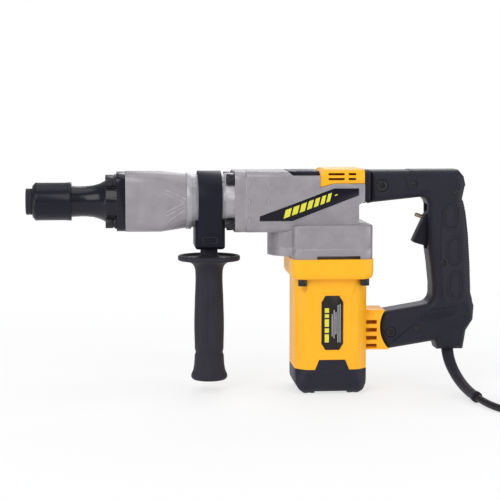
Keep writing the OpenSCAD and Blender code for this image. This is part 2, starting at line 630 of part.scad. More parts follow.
module switch_body() color([0.12, 0.12, 0.13]) union() {
    box(188.5, 208, -10.5, 10.5, 148, 189);
    box(190, 206, -6, 6, 143, 148);
}

module trigger_pin() color([0.7, 0.7, 0.72]) cross_bar(181, 181.5, 1.5, -14.5, 14.5);

module trigger() color([0.07, 0.07, 0.08]) difference() {
    plate_xz(concat(arc(181, 181.5, 3.4, 60, 200, 6), [[174.2, 175.5], [161.9, 149], [163, 147.6], [178, 143.2], [184, 150], [184.5, 178]]), -7.8, 7.8);
    cross_bar(181, 181.5, 1.5 + fit, -9, 9);
    lock_line() cylinder(r = 2 + fit, h = 30, center = true);
}

// The lock pin's axis, leaning up and forward out of the trigger
module lock_line() translate([172, 0, 173.2]) rotate([0, -71, 0]) children();

module lock_pin() color([0.5, 0.45, 0.42]) lock_line() {
    translate([0, 0, -6]) cylinder(r = 2, h = 13.5);
}

module cord_clamp() color([0.2, 0.2, 0.2]) difference() {
    box(189.8, 207.5, -13, 13, 67.5, 73.5);
    post(198.6, 0, 3.9, 66, 75);
    for (s = [-1, 1]) post(198.6, s * 9.5, 1.5, 66, 75);
}

// ---- side handle ----

// An open band over the barrel, whose two straps meet in a crosspiece that the stud pulls down
module clamp_band() color([0.10, 0.10, 0.12]) difference() {
    union() {
        bar(29.9, side - 11.7, side + 11.7);
        box(side - 11.7, side + 11.7, -16, 16, 147, axis_z);
    }
    bar(seat_r + 0.25, side - 13, side + 13);
    box(side - 13, side + 13, -12.6, 12.6, 151, axis_z - 20);
    post(side, 0, 4 + fit, 140, 152);
}

// A hollow block between the barrel and the grip, with a saddle at its top
module clamp_yoke() color([0.09, 0.09, 0.11]) difference() {
    square_bar(39, 33, 4, side - 14.7, side + 14.7, 159.6);
    box(side - 12, side + 12, -16.3, 16.3, 146.6, 180);
    bar(seat_r + 0.3, side - 20, side + 20);
    bar(30.2, side - 12, side + 12);
    post(side, 0, 4 + fit, 140, 150);
}

module clamp_stud() color([0.6, 0.6, 0.62]) {
    post(side, 0, 4, 96, 152);
    box(side - 6.5, side + 6.5, -6.5, 6.5, 151.02, 155);
}

module side_grip() color([0.10, 0.10, 0.12]) difference() {
    translate([side, 0, 0]) rotate_extrude($fn = 96) polygon([[0, 10.5], [16.5, 10.5], [18.2, 13], [18, 16.5], [16.4, 20.5], [15, 27], [14.3, 36.5], [13.7, 40],
        [14.9, 48], [15.3, 64], [15, 80], [14.5, 96], [13.7, 112], [13.8, 121], [16, 127], [22, 130.2], [guard_r - 0.6, 131], [guard_r, 132], [guard_r, 135.4],
        [guard_r - 1, 136], [guard_r - 3.2, 136], [guard_r - 4.5, 133.2], [15, 133.2], [12, 134.5], [9, 136], [8.6, 142.6], [0, 142.6]]);
    post(side, 0, 4 + fit, 95, 150);
}

// ---- cord ----

// The guard's own line, from inside the handle to where the cord leaves it
guard_route = [[198.6, 0, 58], [198.6, 0, 48], [199, 0, 39], [199.8, -4, 31], [201.2, -15, 22], [203, -32, 14.5],
    [204.8, -52, 9.6], [206.6, -74, 7.2], [208.5, -96, 6.2]];
// The cord inside the handle, then from the guard to the coil, then from the coil to the plug
inner_route = [[198.6, 0, 92], [198.6, 0, 75], [198.6, 0, 58.4]];
floor_route = [[208.64, -96.6, 6.15], [211.5, -109, 4.9], [215, -122, 4], [219.5, -136, 3.6], [226, -150, 3.6], [236, -163, 3.6],
    [251, -172, 3.6], [270, -175.8, 3.6], [291.8, -176.2, 3.6]];
tail_route = [[348.2, -119.8, 17.4], [348.2, -110, 17], [348.2, -98, 14.5], [348.1, -86, 11.6], [348, -74, 9.6], [348, -67, 9.1]];
coil_centre = [292, -120];
coil_in = coil_r - 1.5 * cord_d;
coil_out = coil_r + 1.5 * cord_d;

// A point on a smooth curve through the route's points
function smooth(p, i, t) =
    let (n = len(p) - 1, a = p[max(i - 1, 0)], b = p[i], c = p[min(i + 1, n)], d = p[min(i + 2, n)])
    0.5 * (2 * b + (c - a) * t + (2 * a - 5 * b + 4 * c - d) * t * t + (3 * b - a - 3 * c + d) * t * t * t);

function smoothed(p, steps) = concat([for (i = [0:len(p) - 2], k = [0:steps - 1]) smooth(p, i, k / steps)], [p[len(p) - 1]]);

// Rings of points round a line, each square to it; radii from r0 to r1
function ring_points(line, sides, r0, r1) = [for (i = [0:len(line) - 1])
    let (n = len(line) - 1, d = line[min(i + 1, n)] - line[max(i - 1, 0)], t = d / norm(d),
        u0 = cross(t, abs(t[2]) > 0.7 ? [1, 0, 0] : [0, 0, 1]), u = u0 / norm(u0), v = cross(t, u), r = r0 + (r1 - r0) * i / n)
    for (k = [0:sides - 1]) line[i] + r * (cos(360 * k / sides + 22.5) * u + sin(360 * k / sides + 22.5) * v)];

module swept(line, sides, r0, r1) polyhedron(points = ring_points(line, sides, r0, r1), faces = concat(
    [[for (k = [0:sides - 1]) k]],
    [for (i = [0:len(line) - 2], k = [0:sides - 1]) let (a = i * sides, k1 = (k + 1) % sides) each
        [[a + k, a + sides + k, a + k1], [a + k1, a + sides + k, a + sides + k1]]],
    [[for (k = [sides - 1:-1:0]) (len(line) - 1) * sides + k]]));

module cord_guard() color([0.08, 0.08, 0.09]) {
    swept(smoothed(guard_route, 3), 12, 6.7, 5.4);
}

module cord() color([0.08, 0.08, 0.09]) {
    swept(smoothed(inner_route, 3), 8, cord_d / 2, cord_d / 2);
    swept(smoothed(floor_route, 3), 8, cord_d / 2, cord_d / 2);
    swept(smoothed(tail_route, 3), 8, cord_d / 2, cord_d / 2);
}

module cord_coil() color([0.08, 0.08, 0.09]) translate([coil_centre[0], coil_centre[1], 0])
    rotate_extrude($fn = 96) polygon([[coil_in + 3, 0.1], [coil_out - 3, 0.1], [coil_out, 3.1], [coil_out, 18.1],
        [coil_out - 3, 21.1], [coil_in + 3, 21.1], [coil_in, 18.1], [coil_in, 3.1]]);

// A round bar along +Y from the plug's cable end
module plug_bar(x, y0, y1, ra, rb) translate([x, y0, 9.1]) rotate([-90, 0, 0]) cylinder(r1 = ra, r2 = rb, h = y1 - y0);

// An oblong section of the plug's body, square to Y
module plug_section(w, h, r, y0, y1) translate([348, y0, 9.1]) rotate([-90, 0, 0]) linear_extrude(y1 - y0) polygon(rounded_rect(w, h, r));

module plug() color([0.08, 0.08, 0.09]) union() {
    plug_bar(348, -66.8, -53, 4.6, 6.5);
    hull() {
        translate([348, -54, 9.1]) rotate([-90, 0, 0]) cylinder(r = 6.6, h = 1, $fn = 32);
        plug_section(30, 15, 6, -42, -41);
        plug_section(34, 17.8, 8, -24, -21.8);
    }
}

module plug_pins() color([0.8, 0.8, 0.8]) for (s = [-1, 1]) plug_bar(348 + s * 9.5, -21.75, -2.75, 2.4, 2.4);

nose_cover();
tool_holder();
nose_bolts();
dust_cap();
lock_sleeve();
sleeve_spring();
lock_roller();
cylinder_case();
case_bolts();
cylinder_liner();
buffer_ring();
impact_bolt();
striker();
piston();
piston_pin();
connecting_rod();
crank_case();
crank_lid();
cross_screws();
top_vent_cover();
side_badges();
crank_shaft();
crank_gear();
crank_bearings();
gear_plate();
motor_housing();
housing_screws();
tail_cap();
nameplate();
stator_core();
field_coils();
armature_shaft();
armature_core();
commutator();
cooling_fan();
fan_shroud();
armature_bearings();
brush_holders();
carbon_brushes();
rear_vent_duct();
arm_boot();
handle_left();
handle_right();
handle_screws();
handle_bolts();
grip_pad();
switch_body();
trigger();
trigger_pin();
lock_pin();
clamp_band();
clamp_yoke();
clamp_stud();
side_grip();
cord_clamp();
cord_guard();
cord();
cord_coil();
plug();
plug_pins();
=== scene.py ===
import json
from math import sin, cos, pi, radians
import bpy
import bmesh
from mathutils import Matrix, Vector
from mathutils.bvhtree import BVHTree


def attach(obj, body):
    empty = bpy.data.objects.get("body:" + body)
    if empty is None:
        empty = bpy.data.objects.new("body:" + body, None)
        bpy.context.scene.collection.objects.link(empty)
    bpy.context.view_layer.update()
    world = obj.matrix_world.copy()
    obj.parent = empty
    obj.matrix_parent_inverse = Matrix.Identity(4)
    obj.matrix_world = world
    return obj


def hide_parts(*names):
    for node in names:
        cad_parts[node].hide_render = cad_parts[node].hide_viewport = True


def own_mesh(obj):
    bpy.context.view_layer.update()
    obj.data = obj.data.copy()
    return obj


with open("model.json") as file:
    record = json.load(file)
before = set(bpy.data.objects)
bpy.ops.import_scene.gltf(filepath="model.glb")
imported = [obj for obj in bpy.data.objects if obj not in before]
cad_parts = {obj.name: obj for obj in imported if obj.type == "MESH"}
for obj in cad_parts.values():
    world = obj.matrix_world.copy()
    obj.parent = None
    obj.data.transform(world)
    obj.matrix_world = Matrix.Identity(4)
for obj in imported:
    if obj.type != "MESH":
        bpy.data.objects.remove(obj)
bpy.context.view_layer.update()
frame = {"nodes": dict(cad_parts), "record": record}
nodes = frame["nodes"]
mm = 0.001
scene = bpy.context.scene
bodyOf = {name: body for body, names in frame["record"]["behaviour"]["bodies"].items() for name in names}
print("frame loaded", len(nodes), "nodes")

axisZ = 190.5      # hammer axis above the feet
motorX = 76.5      # motor axis behind the origin
sideX = -43.0      # side handle axis


def at(x, y, z):
    return Vector((x, y, z)) * mm


# camera and light

shot = {"target": (-1.9, 0, 140.8), "distance": 1600, "azimuth": -5, "elevation": 5.5, "lens": 115.2}
lamps = [  # name, place, size, watts, colour
    ("keyLamp", (-900, -1600, 1300), 1300, 19, (1, 0.985, 0.965)),
    ("fillLamp", (1300, -1300, 700), 1100, 8, (0.96, 0.98, 1)),
    ("topLamp", (100, 100, 1900), 1500, 9, (1, 1, 1)),
    ("backLamp", (300, 1500, 1100), 1000, 9, (1, 1, 1)),
    ("leftStrip", (-1500, -350, 260), 500, 4, (1, 1, 1)),
    ("rightStrip", (1700, -350, 260), 500, 4, (1, 1, 1)),
]
studio = {"roomColour": (0.95, 0.97, 1), "roomLight": 0.42, "backdrop": (1, 1, 1)}


def pointAt(obj, place, target):
    obj.location = place
    obj.rotation_mode = "QUATERNION"
    obj.rotation_quaternion = (target - place).to_track_quat("-Z", "Y")


def setUpShot():
    target = at(*shot["target"])
    az, el = radians(shot["azimuth"]), radians(shot["elevation"])
    back = Vector((sin(az) * cos(el), -cos(az) * cos(el), sin(el)))
    data = bpy.data.cameras.new("camera")
    data.lens, data.sensor_width = shot["lens"], 36
    data.clip_start, data.clip_end = 0.05, 60
    camera = bpy.data.objects.new("camera", data)
    scene.collection.objects.link(camera)
    pointAt(camera, target + back * shot["distance"] * mm, target)
    scene.camera = camera
    for name, place, size, watts, colour in lamps:
        light = bpy.data.lights.new(name, "AREA")
        light.size, light.energy, light.color = size * mm, watts, colour
        lamp = bpy.data.objects.new(name, light)
        scene.collection.objects.link(lamp)
        pointAt(lamp, at(*place), target)
    world = bpy.data.worlds.new("studio")
    scene.world = world
    world.use_nodes = True
    tree = world.node_tree
    tree.nodes.clear()
    out = tree.nodes.new("ShaderNodeOutputWorld")
    mix = tree.nodes.new("ShaderNodeMixShader")
    rays = tree.nodes.new("ShaderNodeLightPath")
    room = tree.nodes.new("ShaderNodeBackground")
    seen = tree.nodes.new("ShaderNodeBackground")
    room.inputs[0].default_value = (*studio["roomColour"], 1)
    room.inputs[1].default_value = studio["roomLight"]
    seen.inputs[0].default_value = (*studio["backdrop"], 1)
    seen.inputs[1].default_value = 1.0
    tree.links.new(rays.outputs["Is Camera Ray"], mix.inputs[0])
    tree.links.new(room.outputs[0], mix.inputs[1])
    tree.links.new(seen.outputs[0], mix.inputs[2])
    tree.links.new(mix.outputs[0], out.inputs[0])
    scene.view_settings.view_transform = "Standard"
    scene.view_settings.look = "None"


setUpShot()
print("camera and lamps set", len(lamps))

# finishes: colours are linear; grain sizes are in millimetres

finishes = {}


def addFinish(name, colour, rough, metal=0.0, shade=0.12, patch=18, grain=0.6, bump=0.08, stretch=(1, 1, 1),
              wear=0.0, wearColour=(0.6, 0.6, 0.6), wearRadius=0.5, coat=0.0, specular=0.5, speck=0.0, bands=None,
              bandBump=0.0, sheen=0.0):
    mat = bpy.data.materials.new(name)
    mat.use_nodes = True
    tree = mat.node_tree
    shader = tree.nodes["Principled BSDF"]
    add, link = tree.nodes.new, tree.links.new

    def noise(size, detail, roughness=0.55, scaleVec=None):
        node = add("ShaderNodeTexNoise")
        node.inputs["Scale"].default_value = 1000.0 / size
        node.inputs["Detail"].default_value = detail
        node.inputs["Roughness"].default_value = roughness
        source = coords.outputs["Object"]
        if scaleVec:
            mapping = add("ShaderNodeMapping")
            mapping.inputs["Scale"].default_value = scaleVec
            link(source, mapping.inputs["Vector"])
            source = mapping.outputs[0]
        link(source, node.inputs["Vector"])
        return node.outputs["Fac"]

    def spread(value, low, high, toLow, toHigh):
        node = add("ShaderNodeMapRange")
        for key, number in (("From Min", low), ("From Max", high), ("To Min", toLow), ("To Max", toHigh)):
            node.inputs[key].default_value = number
        link(value, node.inputs["Value"])
        return node.outputs["Result"]

    def blendColour(fac, a, b):
        node = add("ShaderNodeMix")
        node.data_type = "RGBA"
        link(fac, node.inputs[0])
        for socket, value in ((node.inputs[6], a), (node.inputs[7], b)):
            if isinstance(value, tuple):
                socket.default_value = (*value, 1)
            else:
                link(value, socket)
        return node.outputs[2]

    coords = add("ShaderNodeTexCoord")
    broad = noise(patch, 3)
    fine = noise(grain, 4, 0.6, stretch)
    dark = tuple(c * (1 - shade) for c in colour)
    light = tuple(min(1, c * (1 + shade)) for c in colour)
    tone = blendColour(spread(broad, 0.3, 0.7, 0, 1), dark, light)
    if speck:
        tone = blendColour(spread(fine, 0.62, 0.75, 0, speck), tone, tuple(c * 0.35 for c in colour))
    if bands:
        wave = add("ShaderNodeTexWave")
        wave.wave_type, wave.bands_direction = "BANDS", bands[0]
        wave.inputs["Scale"].default_value = 1000.0 / bands[1] / 3.2  # the node's bands are about 1/3 of a unit apart
        wave.inputs["Distortion"].default_value = bands[2]
        wave.inputs["Detail"].default_value = 1.5
        link(coords.outputs["Object"], wave.inputs["Vector"])
        tone = blendColour(spread(wave.outputs["Fac"], 0, 1, 0, 1), tone, tuple(c * (1 - bands[3]) for c in colour))
    roughness = spread(fine, 0.3, 0.7, rough[0], rough[1])
    if wear:
        corner = add("ShaderNodeBevel")
        corner.samples = 4
        corner.inputs["Radius"].default_value = wearRadius * mm
        geometry = add("ShaderNodeNewGeometry")
        dot = add("ShaderNodeVectorMath")
        dot.operation = "DOT_PRODUCT"
        link(corner.outputs[0], dot.inputs[0])
        link(geometry.outputs["Normal"], dot.inputs[1])
        edge = spread(dot.outputs["Value"], 0.995, 0.86, 0, 1)
        rub = spread(noise(7, 5, 0.7), 0.42, 0.62, 0.15, 1)
        worn = add("ShaderNodeMath")
        worn.operation = "MULTIPLY"
        link(edge, worn.inputs[0])
        link(rub, worn.inputs[1])
        much = add("ShaderNodeMath")
        much.operation = "MULTIPLY"
        much.inputs[1].default_value = wear
        link(worn.outputs[0], much.inputs[0])
        tone = blendColour(much.outputs[0], tone, wearColour)
    link(tone, shader.inputs["Base Color"])
    link(roughness, shader.inputs["Roughness"])
    shader.inputs["Metallic"].default_value = metal
    shader.inputs["Specular IOR Level"].default_value = specular
    shader.inputs["Coat Weight"].default_value = coat
    shader.inputs["Coat Roughness"].default_value = 0.12
    shader.inputs["Sheen Weight"].default_value = sheen
    height = add("ShaderNodeBump")
    height.inputs["Strength"].default_value = bump
    height.inputs["Distance"].default_value = 0.3 * mm
    link(fine, height.inputs["Height"])
    if bands and bandBump:
        second = add("ShaderNodeBump")
        second.inputs["Strength"].default_value = bandBump
        second.inputs["Distance"].default_value = 0.25 * mm
        link(wave.outputs["Fac"], second.inputs["Height"])
        link(height.outputs[0], second.inputs["Normal"])
        height = second
    link(height.outputs[0], shader.inputs["Normal"])
    finishes[name] = mat
    return mat


addFinish("castAluminium", (0.300, 0.282, 0.306), (0.38, 0.56), metal=0.4, shade=0.09, patch=16, grain=1.1, bump=0.30,
          wear=0.6, wearColour=(0.72, 0.72, 0.74), wearRadius=0.8, speck=0.35)
addFinish("turnedAluminium", (0.39, 0.38, 0.405), (0.34, 0.46), metal=0.5, shade=0.05, grain=0.8, bump=0.05,
          stretch=(6, 0.3, 0.3), bands=("X", 0.7, 0.4, 0.12), bandBump=0.15)
addFinish("yellowPlastic", (0.97, 0.45, 0.008), (0.36, 0.48), shade=0.035, patch=40, grain=0.5, bump=0.045,
          wear=0.25, wearColour=(1.0, 0.52, 0.09), wearRadius=0.5, specular=0.36)
addFinish("blackPlastic", (0.0155, 0.015, 0.026), (0.42, 0.55), shade=0.14, patch=25, grain=0.45, bump=0.10,
          wear=0.45, wearColour=(0.07, 0.07, 0.085), specular=0.22)
addFinish("softRubber", (0.0185, 0.0175, 0.027), (0.56, 0.74), shade=0.16, patch=20, grain=0.5, bump=0.16,
          wear=0.3, wearColour=(0.055, 0.055, 0.065), specular=0.26, sheen=0.03)
addFinish("blackSteel", (0.004, 0.004, 0.011), (0.20, 0.30), shade=0.15, patch=12, grain=0.5, bump=0.05,
          wear=0.4, wearColour=(0.14, 0.14, 0.16), specular=0.2, coat=0.25)
addFinish("sleeveBlack", (0.005, 0.005, 0.013), (0.32, 0.46), shade=0.15, patch=12, grain=0.4, bump=0.08,
          wear=0.5, wearColour=(0.10, 0.10, 0.12), specular=0.16, coat=0.15)
addFinish("boltSteel", (0.020, 0.020, 0.024), (0.30, 0.46), metal=0.5, shade=0.2, patch=4, grain=0.35, bump=0.10,
          wear=0.6, wearColour=(0.22, 0.21, 0.21), wearRadius=0.3)
addFinish("brightSteel", (0.60, 0.60, 0.62), (0.22, 0.36), metal=1.0, shade=0.06, patch=6, grain=0.5, bump=0.05,
          stretch=(0.2, 3, 3), wear=0.4, wearColour=(0.85, 0.85, 0.86), wearRadius=0.3)
addFinish("groundSteel", (0.52, 0.52, 0.54), (0.16, 0.28), metal=1.0, shade=0.05, patch=10, grain=0.35, bump=0.05,
          stretch=(0.15, 3, 3))
addFinish("springSteel", (0.42, 0.43, 0.47), (0.25, 0.40), metal=1.0, shade=0.12, patch=5, grain=0.4, bump=0.06)
addFinish("laminationSteel", (0.34, 0.34, 0.36), (0.35, 0.5), metal=0.9, shade=0.1, patch=8, grain=0.5, bump=0.06,
          bands=("Z", 1.0, 0.0, 0.5), bandBump=0.5)
addFinish("copperWinding", (0.62, 0.23, 0.075), (0.24, 0.38), metal=0.9, shade=0.12, patch=7, grain=0.6, bump=0.06,
          bands=("X", 0.8, 0.6, 0.45), bandBump=0.7, coat=0.3)
addFinish("copperBars", (0.74, 0.33, 0.15), (0.18, 0.30), metal=1.0, shade=0.08, patch=5, grain=0.4, bump=0.05)
addFinish("brass", (0.66, 0.47, 0.16), (0.24, 0.38), metal=1.0, shade=0.08, patch=6, grain=0.5, bump=0.05)
addFinish("carbon", (0.030, 0.030, 0.032), (0.5, 0.7), shade=0.2, patch=3, grain=0.3, bump=0.2, specular=0.3)
addFinish("triggerBlack", (0.006, 0.006, 0.012), (0.32, 0.46), shade=0.12, patch=15, grain=0.45, bump=0.06,
          wear=0.5, wearColour=(0.075, 0.075, 0.09), specular=0.18)
addFinish("badgeBlack", (0.006, 0.005, 0.012), (0.20, 0.30), shade=0.1, patch=20, grain=0.4, bump=0.03, specular=0.2)
addFinish("badgeYellow", (0.70, 0.66, 0.045), (0.30, 0.42), shade=0.04, patch=10, grain=0.4, bump=0.03)
addFinish("badgeEdge", (0.62, 0.50, 0.26), (0.30, 0.42), shade=0.06, patch=10, grain=0.4, bump=0.03)
addFinish("labelGrey", (0.42, 0.42, 0.44), (0.35, 0.45), shade=0.1, patch=3, grain=0.4, bump=0.03)
addFinish("labelDark", (0.016, 0.011, 0.011), (0.30, 0.42), shade=0.15, patch=20, grain=0.4, bump=0.03,
          specular=0.25)
addFinish("bandBlack", (0.006, 0.006, 0.015), (0.40, 0.54), shade=0.14, patch=14, grain=0.5, bump=0.10,
          wear=0.5, wearColour=(0.09, 0.09, 0.105), specular=0.18)
addFinish("pinBronze", (0.34, 0.25, 0.18), (0.28, 0.42), metal=0.8, shade=0.1, patch=3, grain=0.4, bump=0.06)
addFinish("cordBlack", (0.012, 0.012, 0.018), (0.42, 0.56), shade=0.12, patch=12, grain=0.6, bump=0.08, specular=0.22)
addFinish("castIron", (0.16, 0.16, 0.17), (0.45, 0.6), metal=0.8, shade=0.12, patch=8, grain=0.8, bump=0.2)
print("finishes made", len(finishes))

# the floor turns into plain white further out: distances in metres, and the glow's share at the middle
floorLook = {"size": 6000, "colour": (0.93, 0.93, 0.935), "fadeFrom": 0.1, "fadeTo": 0.9, "leastGlow": 0.66}


def makeFloor():
    bm = bmesh.new()
    bmesh.ops.create_circle(bm, cap_ends=True, segments=96, radius=floorLook["size"] * mm)
    bmesh.ops.translate(bm, verts=bm.verts, vec=(0, 0, -0.0002))
    mesh = bpy.data.meshes.new("floor")
    bm.to_mesh(mesh)
    bm.free()
    floor = bpy.data.objects.new("floor", mesh)
    scene.collection.objects.link(floor)
    addFinish("floorWhite", floorLook["colour"], (0.7, 0.8), shade=0.004, patch=400, grain=3, bump=0.01, specular=0.1)
    mesh.materials.append(finishes["floorWhite"])
    tree = finishes["floorWhite"].node_tree
    coords, far = tree.nodes.new("ShaderNodeTexCoord"), tree.nodes.new("ShaderNodeVectorMath")
    reach, glow = tree.nodes.new("ShaderNodeMapRange"), tree.nodes.new("ShaderNodeEmission")
    mix = tree.nodes.new("ShaderNodeMixShader")
    far.operation = "LENGTH"
    reach.interpolation_type = "SMOOTHSTEP"
    reach.inputs["From Min"].default_value = floorLook["fadeFrom"]
    reach.inputs["From Max"].default_value = floorLook["fadeTo"]
    reach.inputs["To Min"].default_value = floorLook["leastGlow"]
    tree.links.new(coords.outputs["Object"], far.inputs[0])
    tree.links.new(far.outputs["Value"], reach.inputs["Value"])
    tree.links.new(reach.outputs["Result"], mix.inputs[0])
    tree.links.new(tree.nodes["Principled BSDF"].outputs[0], mix.inputs[1])
    tree.links.new(glow.outputs[0], mix.inputs[2])
    tree.links.new(mix.outputs[0], tree.nodes["Material Output"].inputs[0])


makeFloor()

# shared shape helpers


def openCopy(nodeName):
    bm = bmesh.new()
    bm.from_mesh(nodes[nodeName].data)
    bmesh.ops.remove_doubles(bm, verts=bm.verts, dist=3e-6)
    bmesh.ops.dissolve_limit(bm, angle_limit=radians(0.6), verts=bm.verts, edges=bm.edges)
    return bm


def place(name, bm, body, finish, slotName=None, stands=(), bevel=0.0, segments=2, smooth=32, paint=None, even=False):
    # paint gives a face's finish number from its middle in millimetres; even keeps the flat sides evenly lit
    if paint:
        for f in bm.faces:
            f.material_index = paint(f.calc_center_median() / mm, f.normal)
    mesh = bpy.data.meshes.new(name)
    bm.to_mesh(mesh)
    bm.free()
    mesh.shade_smooth()
    if not bevel:
        mesh.set_sharp_from_angle(angle=radians(smooth))
    obj = bpy.data.objects.new(name, mesh)
    scene.collection.objects.link(obj)
    for one in ([finish] if isinstance(finish, str) else finish):
        mesh.materials.append(finishes[one])
    if bevel:
        soft = obj.modifiers.new("softEdges", "BEVEL")
        soft.width, soft.segments = bevel * mm, segments
        soft.limit_method, soft.angle_limit = "ANGLE", radians(smooth)
        soft.use_clamp_overlap = True
        soft.harden_normals = True
    if even:
        for face in mesh.polygons:
            face.use_smooth = abs(face.normal.y) < 0.9998
        weigh = obj.modifiers.new("evenNormals", "WEIGHTED_NORMAL")
        weigh.keep_sharp, weigh.weight = True, 70
    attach(obj, body)
    if stands:
        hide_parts(*stands)
    return obj


def dress(nodeName, finish, slotName=None, bevel=0.5, segments=2, broad=None, smooth=32, paint=None, cuts=()):
    # broad: (test on an edge's middle and direction, width, steps) for the corners that are rounder than the rest
    bm = openCopy(nodeName)
    if cuts:
        bm = carve(bm, cuts)
    for test, width, steps in broad or ():
        bm.normal_update()
        picked = []
        for e in bm.edges:
            if len(e.link_faces) == 2 and e.is_convex and e.calc_face_angle(0) > radians(40):
                mid = (e.verts[0].co + e.verts[1].co) / 2 / mm
                way = (e.verts[1].co - e.verts[0].co).normalized()
                if test(mid, way):
                    picked.append(e)
        bmesh.ops.bevel(bm, geom=picked, offset=width * mm, segments=steps, profile=0.5, affect="EDGES", material=-1,
                        clamp_overlap=True)
    return place(nodeName + "Skin", bm, bodyOf[nodeName], finish, slotName, (nodeName,), bevel, segments, smooth, paint)


def loft(rings, closedAlong=False):
    # a surface through rings that all have the same number of points, capped at its open ends
    rows, count = len(rings), len(rings[0])
    bm = bmesh.new()
    across, along = count + 1, rows + (1 if closedAlong else 0)
    bmesh.ops.create_grid(bm, x_segments=across - 1, y_segments=along - 1, size=1)
    bm.verts.ensure_lookup_table()
    for v in bm.verts:
        i = round((v.co.x + 1) / 2 * (across - 1))
        j = round((v.co.y + 1) / 2 * (along - 1))
        v.co = rings[j % rows][i % count]
    bmesh.ops.remove_doubles(bm, verts=bm.verts, dist=1e-7)
    if not closedAlong:
        bmesh.ops.holes_fill(bm, edges=[e for e in bm.edges if e.is_boundary], sides=0)
    bmesh.ops.recalc_face_normals(bm, faces=bm.faces)
    return bm


def addTo(bm, other):
    # moves every face of the other bmesh into bm
    mesh = bpy.data.meshes.new("part")
    other.to_mesh(mesh)
    other.free()
    bm.from_mesh(mesh)
    bpy.data.meshes.remove(mesh)


def prism(points, y0, y1):
    # a block between two Y values with an outline in X and Z
    bm = bmesh.new()
    face = bm.faces.new([bm.verts.new(at(x, y0, z)) for x, z in points])
    made = bmesh.ops.extrude_face_region(bm, geom=[face])
    far = [v for v in made["geom"] if isinstance(v, bmesh.types.BMVert)]
    bmesh.ops.translate(bm, verts=far, vec=(0, (y1 - y0) * mm, 0))
    bmesh.ops.recalc_face_normals(bm, faces=bm.faces)
    return bm


def rod(start, end, radius, sides=32):
    a, b = at(*start), at(*end)
    bm = bmesh.new()
    bmesh.ops.create_cone(bm, cap_ends=True, segments=sides, radius1=radius * mm, radius2=radius * mm,
                          depth=(b - a).length)
    turn = (b - a).to_track_quat("Z", "Y").to_matrix().to_4x4()
    bmesh.ops.transform(bm, matrix=Matrix.Translation((a + b) / 2) @ turn, verts=bm.verts)
    return bm


def block(x0, x1, y0, y1, z0, z1):
    return prism([(x0, z0), (x1, z0), (x1, z1), (x0, z1)], y0, y1)


def carve(bm, cutters, operation="DIFFERENCE"):
    # booleans one after another, the result as a new bmesh
    def asObject(b, name):
        mesh = bpy.data.meshes.new(name)
        b.to_mesh(mesh)
        b.free()
        obj = bpy.data.objects.new(name, mesh)
        scene.collection.objects.link(obj)
        return obj
    base = asObject(bm, "base")
    helpers = [asObject(c, "helper") for c in cutters]
    for h in helpers:
        mod = base.modifiers.new("cut", "BOOLEAN")
        mod.operation, mod.solver, mod.object = operation, "EXACT", h
    mesh = bpy.data.meshes.new_from_object(base.evaluated_get(bpy.context.evaluated_depsgraph_get()))
    result = bmesh.new()
    result.from_mesh(mesh)
    for o in [base, *helpers]:
        old = o.data
        bpy.data.objects.remove(o)
        bpy.data.meshes.remove(old)
    bpy.data.meshes.remove(mesh)
    return result


def turnedShape(profile, axis, centre, steps=96):
    # profile: (radius, station) pairs spun round X or Z through the centre
    bm = bmesh.new()
    row = []
    for r, s in profile:
        p = (s, 0, r) if axis == "X" else (r, 0, s)
        row.append(bm.verts.new(at(*p) + at(*centre)))
    edges = [bm.edges.new((row[i], row[i + 1])) for i in range(len(row) - 1)]
    way = Vector((1, 0, 0)) if axis == "X" else Vector((0, 0, 1))
    bmesh.ops.spin(bm, geom=row + edges, cent=at(*centre), axis=way, angle=2 * pi, steps=steps, use_merge=True,
                   use_duplicate=False)
    bmesh.ops.remove_doubles(bm, verts=bm.verts, dist=2e-6)
    bmesh.ops.recalc_face_normals(bm, faces=bm.faces)
    return bm


def smoothLine(points, steps):
    # a Catmull-Rom line through the points
    pts = [Vector(p) for p in points]
    line = []
    for i in range(len(pts) - 1):
        a, b, c, d = pts[max(i - 1, 0)], pts[i], pts[i + 1], pts[min(i + 2, len(pts) - 1)]
        for k in range(steps):
            t = k / steps
            line.append(0.5 * (2 * b + (c - a) * t + (2 * a - 5 * b + 4 * c - d) * t * t
                               + (3 * b - a - 3 * c + d) * t ** 3))
    return line + [pts[-1]]


def sweep(line, radii, sides=20):
    # a closed tube along a line given in millimetres, with a radius at each point
    rings, side = [], None
    for i, p in enumerate(line):
        way = (line[min(i + 1, len(line) - 1)] - line[max(i - 1, 0)]).normalized()
        if side is None:
            side = way.cross(Vector((0, 1, 0)) if abs(way.y) < 0.8 else Vector((1, 0, 0))).normalized()
        side = (side - way * side.dot(way)).normalized()
        up = way.cross(side)
        rings.append([(p + radii[i] * (cos(2 * pi * k / sides) * side + sin(2 * pi * k / sides) * up)) * mm
                      for k in range(sides)])
    return loft(rings)


def surfaceOf(bm):
    return BVHTree.FromBMesh(bm)


lineSection = ((-1, -0.6), (-0.85, 0.45), (-0.4, 1), (0.4, 1), (0.85, 0.45), (1, -0.6))  # across, outwards


